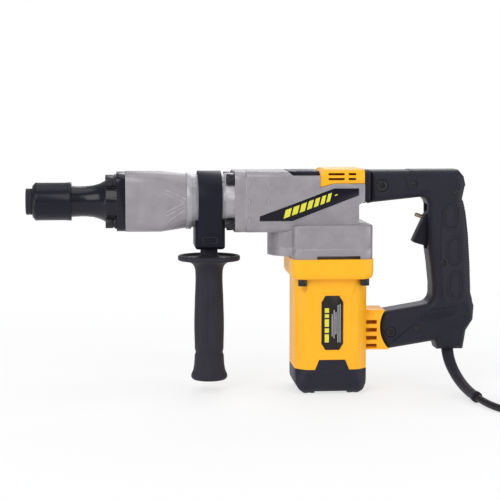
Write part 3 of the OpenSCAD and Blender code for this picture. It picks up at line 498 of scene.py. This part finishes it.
def ribbon(tree, points, aim, width, height, step=1.6, closed=False):
    # a low raised line laid on a surface: points are shot along aim onto it
    pts = [at(*p) for p in points]
    if closed:
        pts.append(pts[0])
    line = []
    for a, b in zip(pts, pts[1:]):
        n = max(1, round((b - a).length / mm / step))
        line += [a.lerp(b, k / n) for k in range(n)]
    if not closed:
        line.append(pts[-1])
    hits = []
    for p in line:
        spot, normal = tree.ray_cast(p - Vector(aim) * 0.08, Vector(aim))[:2]  # shot from 80 mm off
        if spot is not None:
            hits.append((spot, normal))
    rings, n = [], len(hits)
    for i, (p, normal) in enumerate(hits):
        after = hits[(i + 1) % n][0] if closed else hits[min(i + 1, n - 1)][0]
        before = hits[i - 1][0] if (closed or i) else hits[0][0]
        way = (after - before).normalized()
        side = way.cross(normal).normalized()
        w, h = width / 2 * mm, height * mm
        rings.append([p + side * s * w + normal * u * h for s, u in lineSection])
    return loft(rings, closedAlong=closed) if n > 2 else bmesh.new()


# cord, strain relief and plug

cordLook = {"diameter": 7.0, "centre": (292, -120), "meanRadius": 42, "turns": 3, "layers": 3, "perTurn": 24,
            "lowest": 3.6}
guardLine = [(198.6, 0, 58), (198.6, 0, 51), (198.7, -0.5, 44), (199, -2.6, 37), (199.6, -7.4, 29.8),
             (200.7, -14.8, 23.4), (202, -25, 18), (203.4, -38, 13.4), (204.9, -54, 9.7), (206.6, -74, 7.2),
             (208.5, -96, 6.2)]
floorLine = [(208.5, -96, 6.2), (211.5, -109, 4.9), (215, -122, 4), (219.5, -136, 3.6), (226, -150, 3.6),
             (236, -163, 3.6), (251, -172, 3.6), (270, -175.8, 3.6), (291.8, -176.2, 3.6)]
tailLine = [(348.2, -119.8, 22.4), (348.2, -108, 20.6), (348.2, -96, 16.6), (348.1, -84, 12.4), (348, -74, 9.9),
            (348, -66, 9.1), (348, -58, 9.1)]


def ease(t):
    t = min(1, max(0, t))
    return t * t * (3 - 2 * t)


def makeCord():
    d, centre, per = cordLook["diameter"], cordLook["centre"], cordLook["perTurn"]
    shrink = (2 + cos(2 * pi / per)) / 3
    outer = cordLook["meanRadius"] + 1.5 * d
    layers, turns, low = cordLook["layers"], cordLook["turns"], cordLook["lowest"]
    points = [Vector(p) for p in [(198.6, 0, 64), (198.6, 0, 56)] + guardLine[1:]] + smoothLine(floorLine, 2)[1:-1]
    total = layers * turns - 0.25
    last = int(total * per)
    for i in range(last + 1):
        turn = i / per
        layer = min(layers - 1, int(turn / turns))
        inLayer = turn - layer * turns
        r = outer - d * inLayer if layer % 2 == 0 else outer - d * turns + d * inLayer
        r += 3.7 * (1 - ease(turn / 0.25))
        z = low
        for step in range(1, layers):
            z += d * ease((turn - step * turns + 0.1) / 0.2)
        angle = -pi / 2 + 2 * pi * turn
        points.append(Vector((centre[0] + r / shrink * cos(angle), centre[1] + r / shrink * sin(angle), z)))
    for k in range(1, 12):  # the last half turn climbs and crosses to the plug
        t = k / 12
        angle = pi + pi * t
        r = (outer - d * (turns - 0.25)) * (1 - ease(t)) + 56.2 * ease(t)
        z = low + d * (layers - 1) + d * 1.06 * ease(t / 0.2) - (d * 1.06 + 17.6 - 22.4) * ease((t - 0.7) / 0.3)
        points.append(Vector((centre[0] + r / shrink * cos(angle), centre[1] + r / shrink * sin(angle), z)))
    points += [Vector(p) for p in tailLine]
    curve = bpy.data.curves.new("cord", "CURVE")
    curve.dimensions = "3D"
    curve.bevel_depth, curve.bevel_resolution, curve.resolution_u = d / 2 * mm, 4, 3
    curve.use_fill_caps = True
    spline = curve.splines.new("NURBS")
    spline.points.add(len(points) - 1)
    for target, p in zip(spline.points, points):
        target.co = (*(p * mm), 1)
    spline.order_u, spline.use_endpoint_u = 4, True
    cord = bpy.data.objects.new("mainsCord", curve)
    scene.collection.objects.link(cord)
    curve.materials.append(finishes["cordBlack"])
    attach(cord, "tool")
    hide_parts("cord", "cord_coil")
    return cord


guardLook = {"thick": 6.6, "thin": 4.7, "lip": 0.7, "lipFrom": 0.965}


def makeGuard():
    line, radii = smoothLine(guardLine, 12), []
    for i in range(len(line)):
        t = i / (len(line) - 1)
        if t > guardLook["lipFrom"]:
            radii.append(guardLook["thin"] + guardLook["lip"])
        else:
            radii.append(guardLook["thick"] + (guardLook["thin"] - guardLook["thick"]) * t)
    guard = sweep(line, radii, 24)
    return place("cordGuard", guard, "tool", "softRubber", "cord_black", ("cord_guard",), smooth=30)


plugLook = {"x": 348, "z": 9.1, "sides": 40, "ribs": 5, "ribStep": 3.4, "ribRadius": 0.9, "pinApart": 9.5}
plugSections = [  # station, half width, half height, and a power that squares the corners
    (-66.8, 4.6, 4.6, 1), (-63, 4.9, 4.9, 1), (-60, 5.2, 5.2, 1), (-56.5, 5.7, 5.7, 1), (-53, 6.6, 6.6, 1),
    (-49, 10, 6.9, 0.9), (-45, 13.4, 7.3, 0.7), (-41, 15.1, 7.5, 0.6), (-34, 15.9, 8.1, 0.55), (-27, 16.7, 8.6, 0.5),
    (-23.2, 17, 8.9, 0.5), (-22.2, 16.6, 8.6, 0.5), (-21.8, 15.6, 7.8, 0.5)]
pinProfile = [(0, -21.9), (2.38, -21.9), (2.38, -5.2), (1.9, -3.4), (1.1, -2.8), (0, -2.75)]


def makePlug():
    x, z, sides = plugLook["x"], plugLook["z"], plugLook["sides"]
    rings = []
    for y, w, h, p in plugSections:
        ring = []
        for k in range(sides):
            c, s = cos(2 * pi * k / sides), sin(2 * pi * k / sides)
            ring.append(at(x + w * (abs(c) ** p) * (1 if c > 0 else -1), y,
                           z + h * (abs(s) ** p) * (1 if s > 0 else -1)))
        rings.append(ring)
    bm = loft(rings)
    for k in range(plugLook["ribs"]):
        y = -45 + k * plugLook["ribStep"]
        for s in (-1, 1):
            out = x + s * (14.1 + k * 0.45)
            addTo(bm, rod((out, y, z - 3.6), (out, y, z + 3.6), plugLook["ribRadius"], 10))
    return place("plugBody", bm, "tool", "cordBlack", "cord_black", ("plug",), smooth=38)


def makePins():
    bm = bmesh.new()
    for s in (-1, 1):
        one = turnedShape(pinProfile, "Z", (0, 0, 0), 24)
        spot = at(plugLook["x"] + s * plugLook["pinApart"], 0, plugLook["z"])
        bmesh.ops.transform(one, matrix=Matrix.Translation(spot) @ Matrix.Rotation(-pi / 2, 4, "X"), verts=one.verts)
        addTo(bm, one)
    return place("plugPins", bm, "tool", "brass", None, ("plug_pins",))


mainsCord = makeCord()
cordGuard = makeGuard()
plugBody = makePlug()
plugPins = makePins()
print("cord laid out")

# inner parts keep their own meshes and take a finish

innerFinish = {
    "tool_holder": "castIron", "lock_roller": "groundSteel", "cylinder_liner": "groundSteel",
    "buffer_ring": "softRubber", "impact_bolt": "brightSteel", "striker": "brightSteel",
    "piston": "turnedAluminium", "piston_pin": "groundSteel", "connecting_rod": "brightSteel",
    "crank_shaft": "brightSteel", "crank_gear": "brightSteel", "crank_bearings": "groundSteel",
    "stator_core": "laminationSteel", "field_coils": "copperWinding", "armature_shaft": "groundSteel",
    "armature_core": "laminationSteel", "commutator": "copperBars", "cooling_fan": "blackPlastic",
    "fan_shroud": "blackPlastic", "armature_bearings": "groundSteel", "brush_holders": "brass",
    "carbon_brushes": "carbon", "switch_body": "blackPlastic", "trigger_pin": "groundSteel",
    "cord_clamp": "blackPlastic",
}
for nodeName, finishName in innerFinish.items():
    for materialSlot in nodes[nodeName].material_slots:
        materialSlot.material = finishes[finishName]
print("inner parts finished")

# nose, tool lock and their bolts

noseLook = {"flangeRound": 0.9, "springWire": 0.75, "springRadius": 13.7, "springTurns": 5.5}
capProfile = [(9.95, -222.9), (10.15, -223.3), (10.6, -223.5), (12.0, -223.5), (12.6, -223.3), (12.95, -222.7),
              (13, -222), (13, -220.6), (12.7, -220.2), (12.7, -219.6), (13, -219.2), (13, -217.7), (12.8, -217.35),
              (12.1, -217.3), (12.1, -219.1), (9.95, -219.1), (9.95, -222.9)]  # radius and station


def makeNose():
    dress("nose_cover", "blackSteel", "black_steel", 0.6, 3, broad=[
        (lambda m, w: abs(m.x + 145.5) < 0.4 and abs(w.x) < 0.3, noseLook["flangeRound"], 3)])
    dress("nose_bolts", "boltSteel", "bolt_steel", 0.4, 2)
    dress("clamp_stud", "brightSteel", "bright_steel", 0.3, 2)
    cap = turnedShape(capProfile, "X", (0, 0, axisZ))
    place("dustCap", cap, bodyOf["dust_cap"], "softRubber", "soft_rubber", ("dust_cap",), smooth=40)
    dress("lock_sleeve", "sleeveBlack", "sleeve_black", 0.8, 3)
    # a wound spring with a closed ring at each end
    rings = openCopy("sleeve_spring")
    xs = [v.co.x / mm for v in rings.verts]
    rings.free()
    wire, turns, radius = noseLook["springWire"], noseLook["springTurns"], noseLook["springRadius"]
    x0, x1 = min(xs) + wire, max(xs) - wire
    line = []
    for k in range(int(turns * 36) + 1):
        t = k / 36
        lift = min(1, max(0, (t - 1) / (turns - 2)))
        line.append(Vector((x0 + (x1 - x0) * lift, radius * cos(2 * pi * t), axisZ + radius * sin(2 * pi * t))))
    spring = place("sleeveSpring", sweep(line, [wire] * len(line), 10), "tool", "springSteel", None,
                   ("sleeve_spring",), smooth=60)
    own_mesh(spring)


makeNose()
print("nose made")

# barrel casting

barrelLook = {"creaseHeight": 0.16, "creaseWidth": 4.4, "creases": [  # station and height over the axis
    ((-88, 11), (-67.5, 1.6)), ((-88, -12), (-67.5, -1.6)), ((-84, -20), (-67.5, -9))]}


def makeBarrel():
    def shine(m, n):  # the neck under the side handle is turned
        r = (m.y ** 2 + (m.z - axisZ) ** 2) ** 0.5
        return 1 if (-66.5 < m.x < -18.9 and 22.5 < r < 28.2) else 0
    dress("cylinder_case", ["castAluminium", "turnedAluminium"], "cast_aluminium", 0.55, 2, paint=shine)
    tree = surfaceOf(openCopy("cylinder_case"))
    creases = bmesh.new()
    w, h = barrelLook["creaseWidth"], barrelLook["creaseHeight"]
    for s in (-1, 1):
        for line in barrelLook["creases"]:
            addTo(creases, ribbon(tree, [(x, 0, axisZ + z) for x, z in line], (0, -s, 0), w, h, 2.5))
    place("barrelCreases", creases, "tool", "castAluminium", "cast_aluminium", smooth=60)
    dress("case_bolts", "boltSteel", "bolt_steel", 0.4, 2)


makeBarrel()
print("barrel made")

# crank case, its covers and badges

caseLook = {"shoulderRound": 4.6, "bossRound": 4.5, "markLength": 4.6, "markWidth": 1.3, "markHeight": 0.5,
            "markSpots": [(-5.2, 208.6), (-5.2, 191), (-5.2, 172.4), (13.8, 208.6), (13.8, 191)]}
badgeLook = {"rimWidth": 0.9, "rimHeight": 0.35, "bars": 7, "barWidth": 6.5, "barShrink": 0.45, "barGap": 2.1,
             "barHalf": 3.6, "barLean": 2.4, "faces": (30.9, 31.17)}
badgeOutline = [(5, -18.5), (5, -14), (78.6, 13.2), (103, 13.2), (103, 6.4), (37.3, -18.5)]


def makeCrankCase():
    dress("crank_case", "castAluminium", "cast_aluminium", 0.6, 2, broad=[
        (lambda m, w: abs(m.z - 168.4) < 0.3 and abs(w.z) < 0.2, caseLook["shoulderRound"], 4)])
    # small raised ribs; their brighter turned finish is a painted highlight standing in for glints of light on the case
    marks = bmesh.new()
    for s in (-1, 1):
        for x, z in caseLook["markSpots"]:
            h, w = caseLook["markLength"] / 2, caseLook["markWidth"] / 2
            y0, y1 = sorted((s * 30, s * (31 + caseLook["markHeight"])))
            one = block(x - w, x + w, y0, y1, z - h, z + h)
            bmesh.ops.bevel(one, geom=one.edges[:], offset=0.35 * mm, segments=2, profile=0.5, affect="EDGES",
                            material=-1)
            addTo(marks, one)
    place("caseMarks", marks, "tool", "turnedAluminium", "cast_aluminium", smooth=50)
    dress("crank_lid", "blackPlastic", "black_plastic", 0.5, 2)
    dress("cross_screws", "brightSteel", "bolt_steel", 0.15, 1)
    dress("top_vent_cover", "yellowPlastic", "yellow_plastic", 0.55, 2)
    dress("gear_plate", "castAluminium", "cast_aluminium", 0.45, 2, broad=[
        (lambda m, w: abs(m.z - 136.8) < 0.3 and abs(w.z) < 0.2 and m.x < 34, caseLook["bossRound"], 4)])


def makeBadges():
    dress("side_badges", "badgeBlack", "badge_black", 0.18, 2)
    tree = surfaceOf(openCopy("crank_case"))
    rim, bars = bmesh.new(), bmesh.new()
    half, lift = badgeLook["barHalf"], badgeLook["barLean"]
    mid = Vector((54, 0, axisZ - 2))
    for s in (-1, 1):
        grown = []
        for x, z in badgeOutline:
            p = Vector((x, 0, axisZ + z))
            d = (p - mid).normalized()
            grown.append((p.x + (1.6 if d.x > 0 else -1.6) * 0.6, 0, p.z + (1 if d.z > 0 else -1) * 1.15))
        addTo(rim, ribbon(tree, grown, (0, -s, 0), badgeLook["rimWidth"], badgeLook["rimHeight"], 2, closed=True))
        slope = Vector((73.6, 0, 27.2)).normalized()
        rise = Vector((-slope.z, 0, slope.x))
        start = Vector((29.5, 0, axisZ - 12.0))
        y0, y1 = sorted(s * y for y in badgeLook["faces"])
        along = 0
        for k in range(badgeLook["bars"]):
            wide = badgeLook["barWidth"] - k * badgeLook["barShrink"]
            a, b = start + slope * along, start + slope * along + slope * wide
            lean = slope * lift
            quad = [a - rise * half - lean, b - rise * half - lean, b + rise * half + lean, a + rise * half + lean]
            addTo(bars, prism([(p.x, p.z) for p in quad], y0, y1))
            along += wide + badgeLook["barGap"]
        tail = start + slope * (along + 2)
        quad = [tail - rise * 0.5, tail + slope * 3 - rise * 0.5, tail + slope * 3 + rise * 0.5, tail + rise * 0.5]
        addTo(bars, prism([(p.x, p.z) for p in quad], y0, y1))
    # the raised frame round the badge takes the brighter turned finish, a painted highlight along its edge
    place("badgeFrame", rim, "tool", "turnedAluminium", "cast_aluminium", smooth=60)
    place("badgeBars", bars, "tool", "badgeYellow", "badge_black", smooth=30)


makeCrankCase()
makeBadges()
print("crank case made")

# motor housing, tail cap and label

motorLook = {"panelDepth": 0.55, "half": 36.0, "collarHalf": (40.5, 45), "collarLow": 114.95, "collarCorner": 10,
             "collarRound": (3.6, 3.2, 7.5), "fanRadius": 36.7, "screwHole": 2.8, "barEnds": (-7.6, -3.4),
             "lineWidth": 0.8, "contour": (1.0, 0.25)}
panelOutline = [(30, 110.5), (18.6, 97.6), (18.6, 70), (30, 57.5)]  # the corner hollows, out from the motor's axis
labelOutline = [(-13.4, 49.5), (-13.4, 93), (-8.4, 100.8), (8.4, 100.8), (13.4, 93), (13.4, 49.5), (8.4, 41.7),
                (-8.4, 41.7)]
labelBars = [(52, 60), (61.5, 66), (67.5, 75), (76.5, 80), (81.5, 86)]  # from and to, in height
labelLines = [(-0.6, 58, 80), (1.3, 56, 84), (3.2, 60, 82), (5.2, 52, 89), (7.2, 52, 90)]


def collarRings(grow, top):
    # sections of the collar, whose lower edge is rounded
    dx, dy, dz = motorLook["collarRound"]
    halfX, halfY = motorLook["collarHalf"]
    rings = []
    for k in range(10):
        t = pi / 2 * max(0, 8 - k) / 8
        z = motorLook["collarLow"] + dz * (1 - sin(t)) if k < 9 else top
        w, d = halfX + grow - dx * (1 - cos(t)), halfY + grow - dy * (1 - cos(t))
        r, ring = motorLook["collarCorner"], []
        for cx, cy, a0 in ((w - r, d - r, 0), (-w + r, d - r, 90), (-w + r, -d + r, 180), (w - r, -d + r, 270)):
            ring += [at(motorX + cx + r * cos(radians(a0 + 15 * i)), cy + r * sin(radians(a0 + 15 * i)), z)
                     for i in range(7)]
        rings.append(ring)
    return rings


def makeMotor():
    cuts, half = [], motorLook["half"]
    for s in (-1, 1):
        y0, y1 = sorted((s * (half - motorLook["panelDepth"]), s * (half + 2)))
        for m in (-1, 1):
            cuts.append(prism([(motorX + m * x, z) for x, z in panelOutline], y0, y1))
    outside = block(motorX - 60, motorX + 60, -60, 60, motorLook["collarLow"], 134.9)
    cuts.append(carve(outside, [loft(collarRings(0, 136))]))
    dress("motor_housing", "yellowPlastic", "yellow_plastic", 0.5, 2, cuts=cuts)
    # the collar's outer skin, hollow for the fan
    bores = [rod((motorX, 0, 110), (motorX, 0, 140), motorLook["fanRadius"], 72)]
    bores += [rod((x, y, 110), (x, y, 140), motorLook["screwHole"], 20) for x in (46.5, 108.5) for y in (-37, 37)]
    skin = carve(loft(collarRings(0, 134.7)), bores)
    bmesh.ops.scale(skin, vec=(1.0008, 1.0008, 1), verts=skin.verts, space=Matrix.Translation((-motorX * mm, 0, 0)))
    place("collarSkin", skin, "tool", "yellowPlastic", "yellow_plastic", smooth=33, even=True)
    dress("tail_cap", "blackPlastic", "black_plastic", 0.6, 2)
    dress("housing_screws", "boltSteel", "bolt_steel", 0.35, 2)
    dress("nameplate", "labelDark", "badge_black", 0.12, 1)
    tree = surfaceOf(openCopy("motor_housing"))
    lines, yellow, grey = bmesh.new(), bmesh.new(), bmesh.new()
    for s in (-1, 1):
        outline = [(motorX + x, 0, z) for x, z in labelOutline]
        addTo(lines, ribbon(tree, outline, (0, -s, 0), *motorLook["contour"], 2.5, closed=True))
        y0, y1 = sorted((s * (half - 0.2), s * (half + 0.03)))
        for z0, z1 in labelBars:
            addTo(yellow, block(*(motorX + x for x in motorLook["barEnds"]), y0, y1, z0, z1))
        for x, z0, z1 in labelLines:
            addTo(grey, block(motorX + x, motorX + x + motorLook["lineWidth"], y0, y1, z0, z1))
    place("motorContour", lines, "tool", "yellowPlastic", "yellow_plastic", smooth=60)
    place("labelBars", yellow, "tool", "badgeYellow", "badge_black", smooth=30)
    place("labelLines", grey, "tool", "labelGrey", "badge_black", smooth=30)


makeMotor()
print("motor made")

# rear handle

handleLook = {"half": 19.0, "round": (7.5, 8.5), "steps": 5, "wall": 4.5, "padProud": 0.5, "ribFrom": 92.0,
              "ribTo": 188, "ribGap": 2.75, "ribHeight": 0.4, "ringLine": (1.3, 0.7), "shellLine": (1.4, 0.75)}
padOutline = [(189.5, 181), (195, 187), (210.6, 190), (230, 188), (230, 92), (214, 87), (196, 88), (190.5, 94),
              (189, 120), (188, 150)]
plateOutline = [(157, 225), (157, 216), (160.5, 204), (178, 201.5), (205, 203.5), (218, 206), (218, 225)]
hollows = [  # the upper arm, the grip and the lower arm
    [(115, 193), (115, 213), (201, 213), (204, 208), (203, 197), (170, 198.5)],
    [(184, 200), (203, 200), (206, 180), (208, 150), (209, 100), (210, 80), (204, 68), (192, 66), (187.5, 80),
     (187.5, 105), (185.3, 127), (184, 150)],
    [(132, 52), (132, 73), (168, 77), (192, 78), (190, 57), (142, 50)]]
screwSpots = [(160, 207), (203.5, 198), (190, 128), (213, 77), (165, 62)]
shellLines = [[(169.5, 81), (169.5, 70.5), (201, 76)], [(173.5, 80.4), (173.5, 74.6), (204, 79.8)],
              [(177.5, 81), (207, 84)], [(121.5, 217), (121.5, 192)],
              [(151.5, 217), (151.5, 214), (155, 202), (176, 198.6)]]


def arcPoints(cx, cz, r, a0, a1, n):
    angles = [radians(a0 + (a1 - a0) * i / n) for i in range(n + 1)]
    return [(cx + r * cos(a), cz + r * sin(a)) for a in angles]


def handleOutline(proud=0.0):
    # proud pushes the top and the back out
    points = [(116.4, 220.5 + proud), (205.5 + proud * 0.6, 220.5 + proud), (211 + proud, 214 + proud * 0.5),
              (213 + proud, 205), (210.2 + proud, 192), (213.3 + proud, 178), (216 + proud, 156),
              (218 + proud, 127), (219.2 + proud, 97), (223.4, 84), (222.5, 70), (215.5, 59), (212.5, 40.2),
              (186, 40.2), (183.5, 48.8)]
    points += arcPoints(158.7, 64, 31.3, 226, 154, 10) + [(134.5, 80), (168, 85.6)]
    points += arcPoints(169.5, 96.6, 11, -60, -5, 5) + [(180.6, 105), (178.2, 127), (176, 142), (175.6, 184.6)]
    return points + arcPoints(166.6, 184.9, 9, 4, 80, 5) + [(116.4, 188.3)]


def roundedHalf(outline, half, side):
    # one half of the handle: a flat outline pulled outwards, its edge rounded by stepped insets
    (a, b), steps = handleLook["round"], handleLook["steps"]
    bm = bmesh.new()
    face = bm.faces.new([bm.verts.new(at(x, side * 0.02, z)) for x, z in outline])
    face.normal_update()
    if face.normal.y * side < 0:
        face.normal_flip()
    grown = bmesh.ops.extrude_face_region(bm, geom=[face])
    outer = [g for g in grown["geom"] if isinstance(g, bmesh.types.BMFace)][0]
    far = [g for g in grown["geom"] if isinstance(g, bmesh.types.BMVert)]
    bmesh.ops.translate(bm, verts=far, vec=(0, side * (half - b) * mm, 0))
    outer.normal_update()
    if outer.normal.y * side < 0:
        outer.normal_flip()
    for i in range(steps):
        t0, t1 = pi / 2 * i / steps, pi / 2 * (i + 1) / steps
        bmesh.ops.inset_region(bm, faces=[outer], thickness=a * (cos(t0) - cos(t1)) * mm,
                               depth=b * (sin(t1) - sin(t0)) * mm, use_even_offset=True, use_boundary=True)
    bmesh.ops.recalc_face_normals(bm, faces=bm.faces)
    return bm


def makeHalfShell():
    # the handle's right half with its hollows, the trigger's slot, the cord's hole and the bolts' holes
    half = handleLook["half"]
    cutters = [prism(h, -1, half - handleLook["wall"]) for h in hollows]
    cutters += [block(168, 186, -8.2, 8.2, 141, 186.5), rod((198.6, 0, 38), (198.6, 0, 68), 6.8)]
    bolts = (128, 205.6, 6.2), (138, 59, 5.4)
    cutters += [rod((x, half - 2.6, z), (x, 30, z), r, 40) for x, z, r in bolts]
    cutters += [rod((x, -30, z), (x, 30, z), 4.1) for x, z, r in bolts]
    return carve(roundedHalf(handleOutline(), half, 1), cutters)


def screwHoles(bm, spots, radius):
    return carve(bm, [rod((x, -30, z), (x, 2 - handleLook["half"], z), radius, 24) for x, z in spots])


def padRing(x, z0, z1, k):
    # an eight-sided ring on the pad, k further in
    return [(x - 7 + k, z0 + 8), (x - 2 + k * 0.4, z0 + k), (x + 5, z0 + k), (x + 8.5 - k, z0 + 7),
            (x + 8.5 - k, z1 - 7), (x + 5, z1 - k), (x - 2 + k * 0.4, z1 - k), (x - 7 + k, z1 - 8)]


def makeHandle():
    half, proud = handleLook["half"], handleLook["padProud"]
    halfShell, pads = makeHalfShell(), {}
    for side, hand in ((-1, "Left"), (1, "Right")):
        def reach(outline, y1):
            return prism(outline, *sorted((-side, side * y1)))
        shell = halfShell.copy()
        if side < 0:  # the screws are driven from the left
            bmesh.ops.scale(shell, vec=(1, -1, 1), verts=shell.verts)
            bmesh.ops.reverse_faces(shell, faces=shell.faces)
            shell = screwHoles(shell, screwSpots, 3.4)
        shellTree = surfaceOf(shell)
        place("handle" + hand, shell, "tool", "blackPlastic", "black_plastic", ("handle_" + hand.lower(),),
              smooth=33, even=True)
        inner = [reach(h, half - handleLook["wall"]) for h in hollows[:2]]
        grown = roundedHalf(handleOutline(proud), half + proud, side)
        pad = carve(carve(grown.copy(), [reach(padOutline, 40)], "INTERSECT"), [inner[1].copy()])
        if side < 0:
            pad = screwHoles(pad, screwSpots[1:4], 3.6)
        pads[side] = surfaceOf(pad)
        place("softPad" + hand, pad, "tool", "softRubber", "soft_rubber", ("grip_pad",) if side < 0 else (),
              smooth=33, even=True)
        plate = carve(carve(grown, [reach(plateOutline, 40)], "INTERSECT"), inner)
        if side < 0:
            plate = screwHoles(plate, screwSpots[:2], 3.6)
        place("cornerPlate" + hand, plate, "tool", "blackPlastic", "black_plastic", smooth=33, even=True)
        lines, soft, aim = bmesh.new(), bmesh.new(), (0, -side, 0)
        for x, z0, z1 in ((196.8, 161, 189), (200.8, 126, 155), (202.5, 91, 120)):
            for k in (0, 3.0):
                ring = [(p, 0, q) for p, q in padRing(x, z0, z1, k)]
                addTo(soft, ribbon(pads[side], ring, aim, *handleLook["ringLine"], 2, closed=True))
        for line in shellLines:
            addTo(lines, ribbon(shellTree, [(p, 0, q) for p, q in line], aim, *handleLook["shellLine"], 2))
        place("handleLines" + hand, lines, "tool", "blackPlastic", "black_plastic", smooth=60)
        place("padLines" + hand, soft, "tool", "softRubber", "soft_rubber", smooth=60)
    ribs, z = bmesh.new(), handleLook["ribFrom"]
    while z < handleLook["ribTo"]:
        for side in (-1, 1):
            line = [(215, side * y, z) for y in (0.3, 6, 12, 17)]
            addTo(ribs, ribbon(pads[side], line, (-1, 0, 0), 1.4, handleLook["ribHeight"], 2.2))
        z += handleLook["ribGap"]
    place("padRibs", ribs, "tool", "softRubber", "soft_rubber", smooth=60)
    dress("handle_bolts", "boltSteel", "bolt_steel", 0.3, 2)
    dress("handle_screws", "boltSteel", "bolt_steel", 0.15, 1)
    dress("trigger", "triggerBlack", "trigger_black", 1.0, 3)
    dress("lock_pin", "pinBronze", "pin_bronze", 0.5, 3)


def makeArmJoints():
    dress("rear_vent_duct", "yellowPlastic", "yellow_plastic", 0.4, 2)
    dress("arm_boot", "softRubber", "soft_rubber", 0.5, 3)


makeHandle()
makeArmJoints()
print("rear handle made")

# side handle with its clamp

gripLook = {"flutes": 8, "fluteDepth": 0.55, "fluteFrom": 41, "fluteTo": 118, "steps": 144}
gripProfile = [  # radius and height
    (0, 10.5), (8, 10.55), (14.5, 10.7), (16.2, 11.1), (17.3, 12), (18.2, 13.6), (18.15, 15.2), (17.8, 16.8),
    (16.9, 18.6), (16.3, 20.2), (16.1, 20.9), (15.9, 21.6), (15.5, 24), (15.1, 27), (14.85, 31), (14.7, 34.5),
    (14.5, 36.2), (13.9, 37.2), (13.7, 38.4), (13.75, 39.6), (14.3, 41), (14.7, 44), (14.9, 48), (15.15, 56),
    (15.3, 64), (15.25, 72), (15, 80), (14.75, 88), (14.5, 96), (14.1, 104), (13.75, 112), (13.6, 117), (13.8, 121),
    (14.7, 124.6), (16.4, 127.2), (19, 129), (22.5, 130.1), (27, 130.6), (30.2, 131.1), (30.9, 131.9), (31, 133),
    (31, 134.8), (30.7, 135.6), (30, 136), (28.2, 136), (27.5, 135.6), (26.9, 134.4), (26, 133.5), (24, 133.2),
    (18, 133.2), (14.5, 133.35), (12, 134.5), (10, 135.6), (9, 136.6), (8.7, 138), (8.6, 142.6), (4.1, 142.6),
    (4.1, 96), (0, 96)]


def makeSideGrip():
    bm = turnedShape(gripProfile, "Z", (sideX, 0, 0), gripLook["steps"])
    n, low, high = gripLook["flutes"], gripLook["fluteFrom"], gripLook["fluteTo"]
    for v in bm.verts:
        p = v.co / mm
        away = Vector((p.x - sideX, p.y, 0))
        if low < p.z < high and away.length > 10:
            angle = away.angle(Vector((1, 0, 0))) * (1 if away.y > 0 else -1)
            wave = 0.5 - 0.5 * cos(n * angle + 0.6)
            depth = gripLook["fluteDepth"] * ease((p.z - low) / 8) * ease((high - p.z) / 14) * (1 - wave) ** 3
            away *= (away.length - depth * 1.6) / away.length
            v.co = Vector((sideX + away.x, away.y, p.z)) * mm
    return place("sideGrip", bm, "side_grip", "softRubber", "soft_rubber", ("side_grip",), smooth=40)


clampLook = {"yokeRound": 3.4, "yokeHalf": 14.7, "yokeLow": 143.1, "strapEnds": (-54.6, -31.4),
             "windowLine": (1.4, 0.8)}
strapSection = [(18.8, 146.4), (19.6, 145.4), (20.5, 146.6), (20.6, 150), (22.6, 158.5), (24.8, 167), (27, 175),
                (28.9, 182.6), (26, 182), (18.8, 168)]
windowOutline = [(-49.6, 155.6), (-50.6, 153.6), (-49.4, 149.4), (-37, 149.4), (-35.6, 153.6), (-36.4, 155.6)]


def makeClamp():
    dress("clamp_band", "bandBlack", "band_black", 0.7, 3)
    r, low, cuts = clampLook["yokeRound"], clampLook["yokeLow"], []
    for s in (-1, 1):
        edge = sideX + s * clampLook["yokeHalf"]
        inner = edge - s * r
        x0, x1 = sorted((inner, edge + s))
        kept = rod((inner, -25, low + r), (inner, 25, low + r), r, 48)
        cuts.append(carve(block(x0, x1, -24, 24, low - 1.1, low + r), [kept]))
    dress("clamp_yoke", "bandBlack", "band_black", 0.8, 3, cuts=cuts)
    straps = bmesh.new()
    for s in (-1, 1):
        one = loft([[at(x, s * y, z) for y, z in strapSection] for x in clampLook["strapEnds"]])
        corners = [e for e in one.edges if e.calc_face_angle(0) > radians(60)]
        bmesh.ops.bevel(one, geom=corners, offset=0.5 * mm, segments=2, profile=0.5, affect="EDGES", material=-1)
        addTo(straps, one)
    tree = surfaceOf(straps)
    place("clampStraps", straps, "clamp", "bandBlack", "band_black", smooth=40, even=True)
    lines = bmesh.new()
    for s in (-1, 1):
        ring = [(x, 0, z) for x, z in windowOutline]
        addTo(lines, ribbon(tree, ring, (0, -s, 0), *clampLook["windowLine"], 1.5, closed=True))
    # the window's raised outline takes the lighter bolt steel finish as a painted highlight along its edges
    place("clampWindow", lines, "clamp", "boltSteel", "band_black", smooth=60)


makeSideGrip()
makeClamp()
print("side handle made")
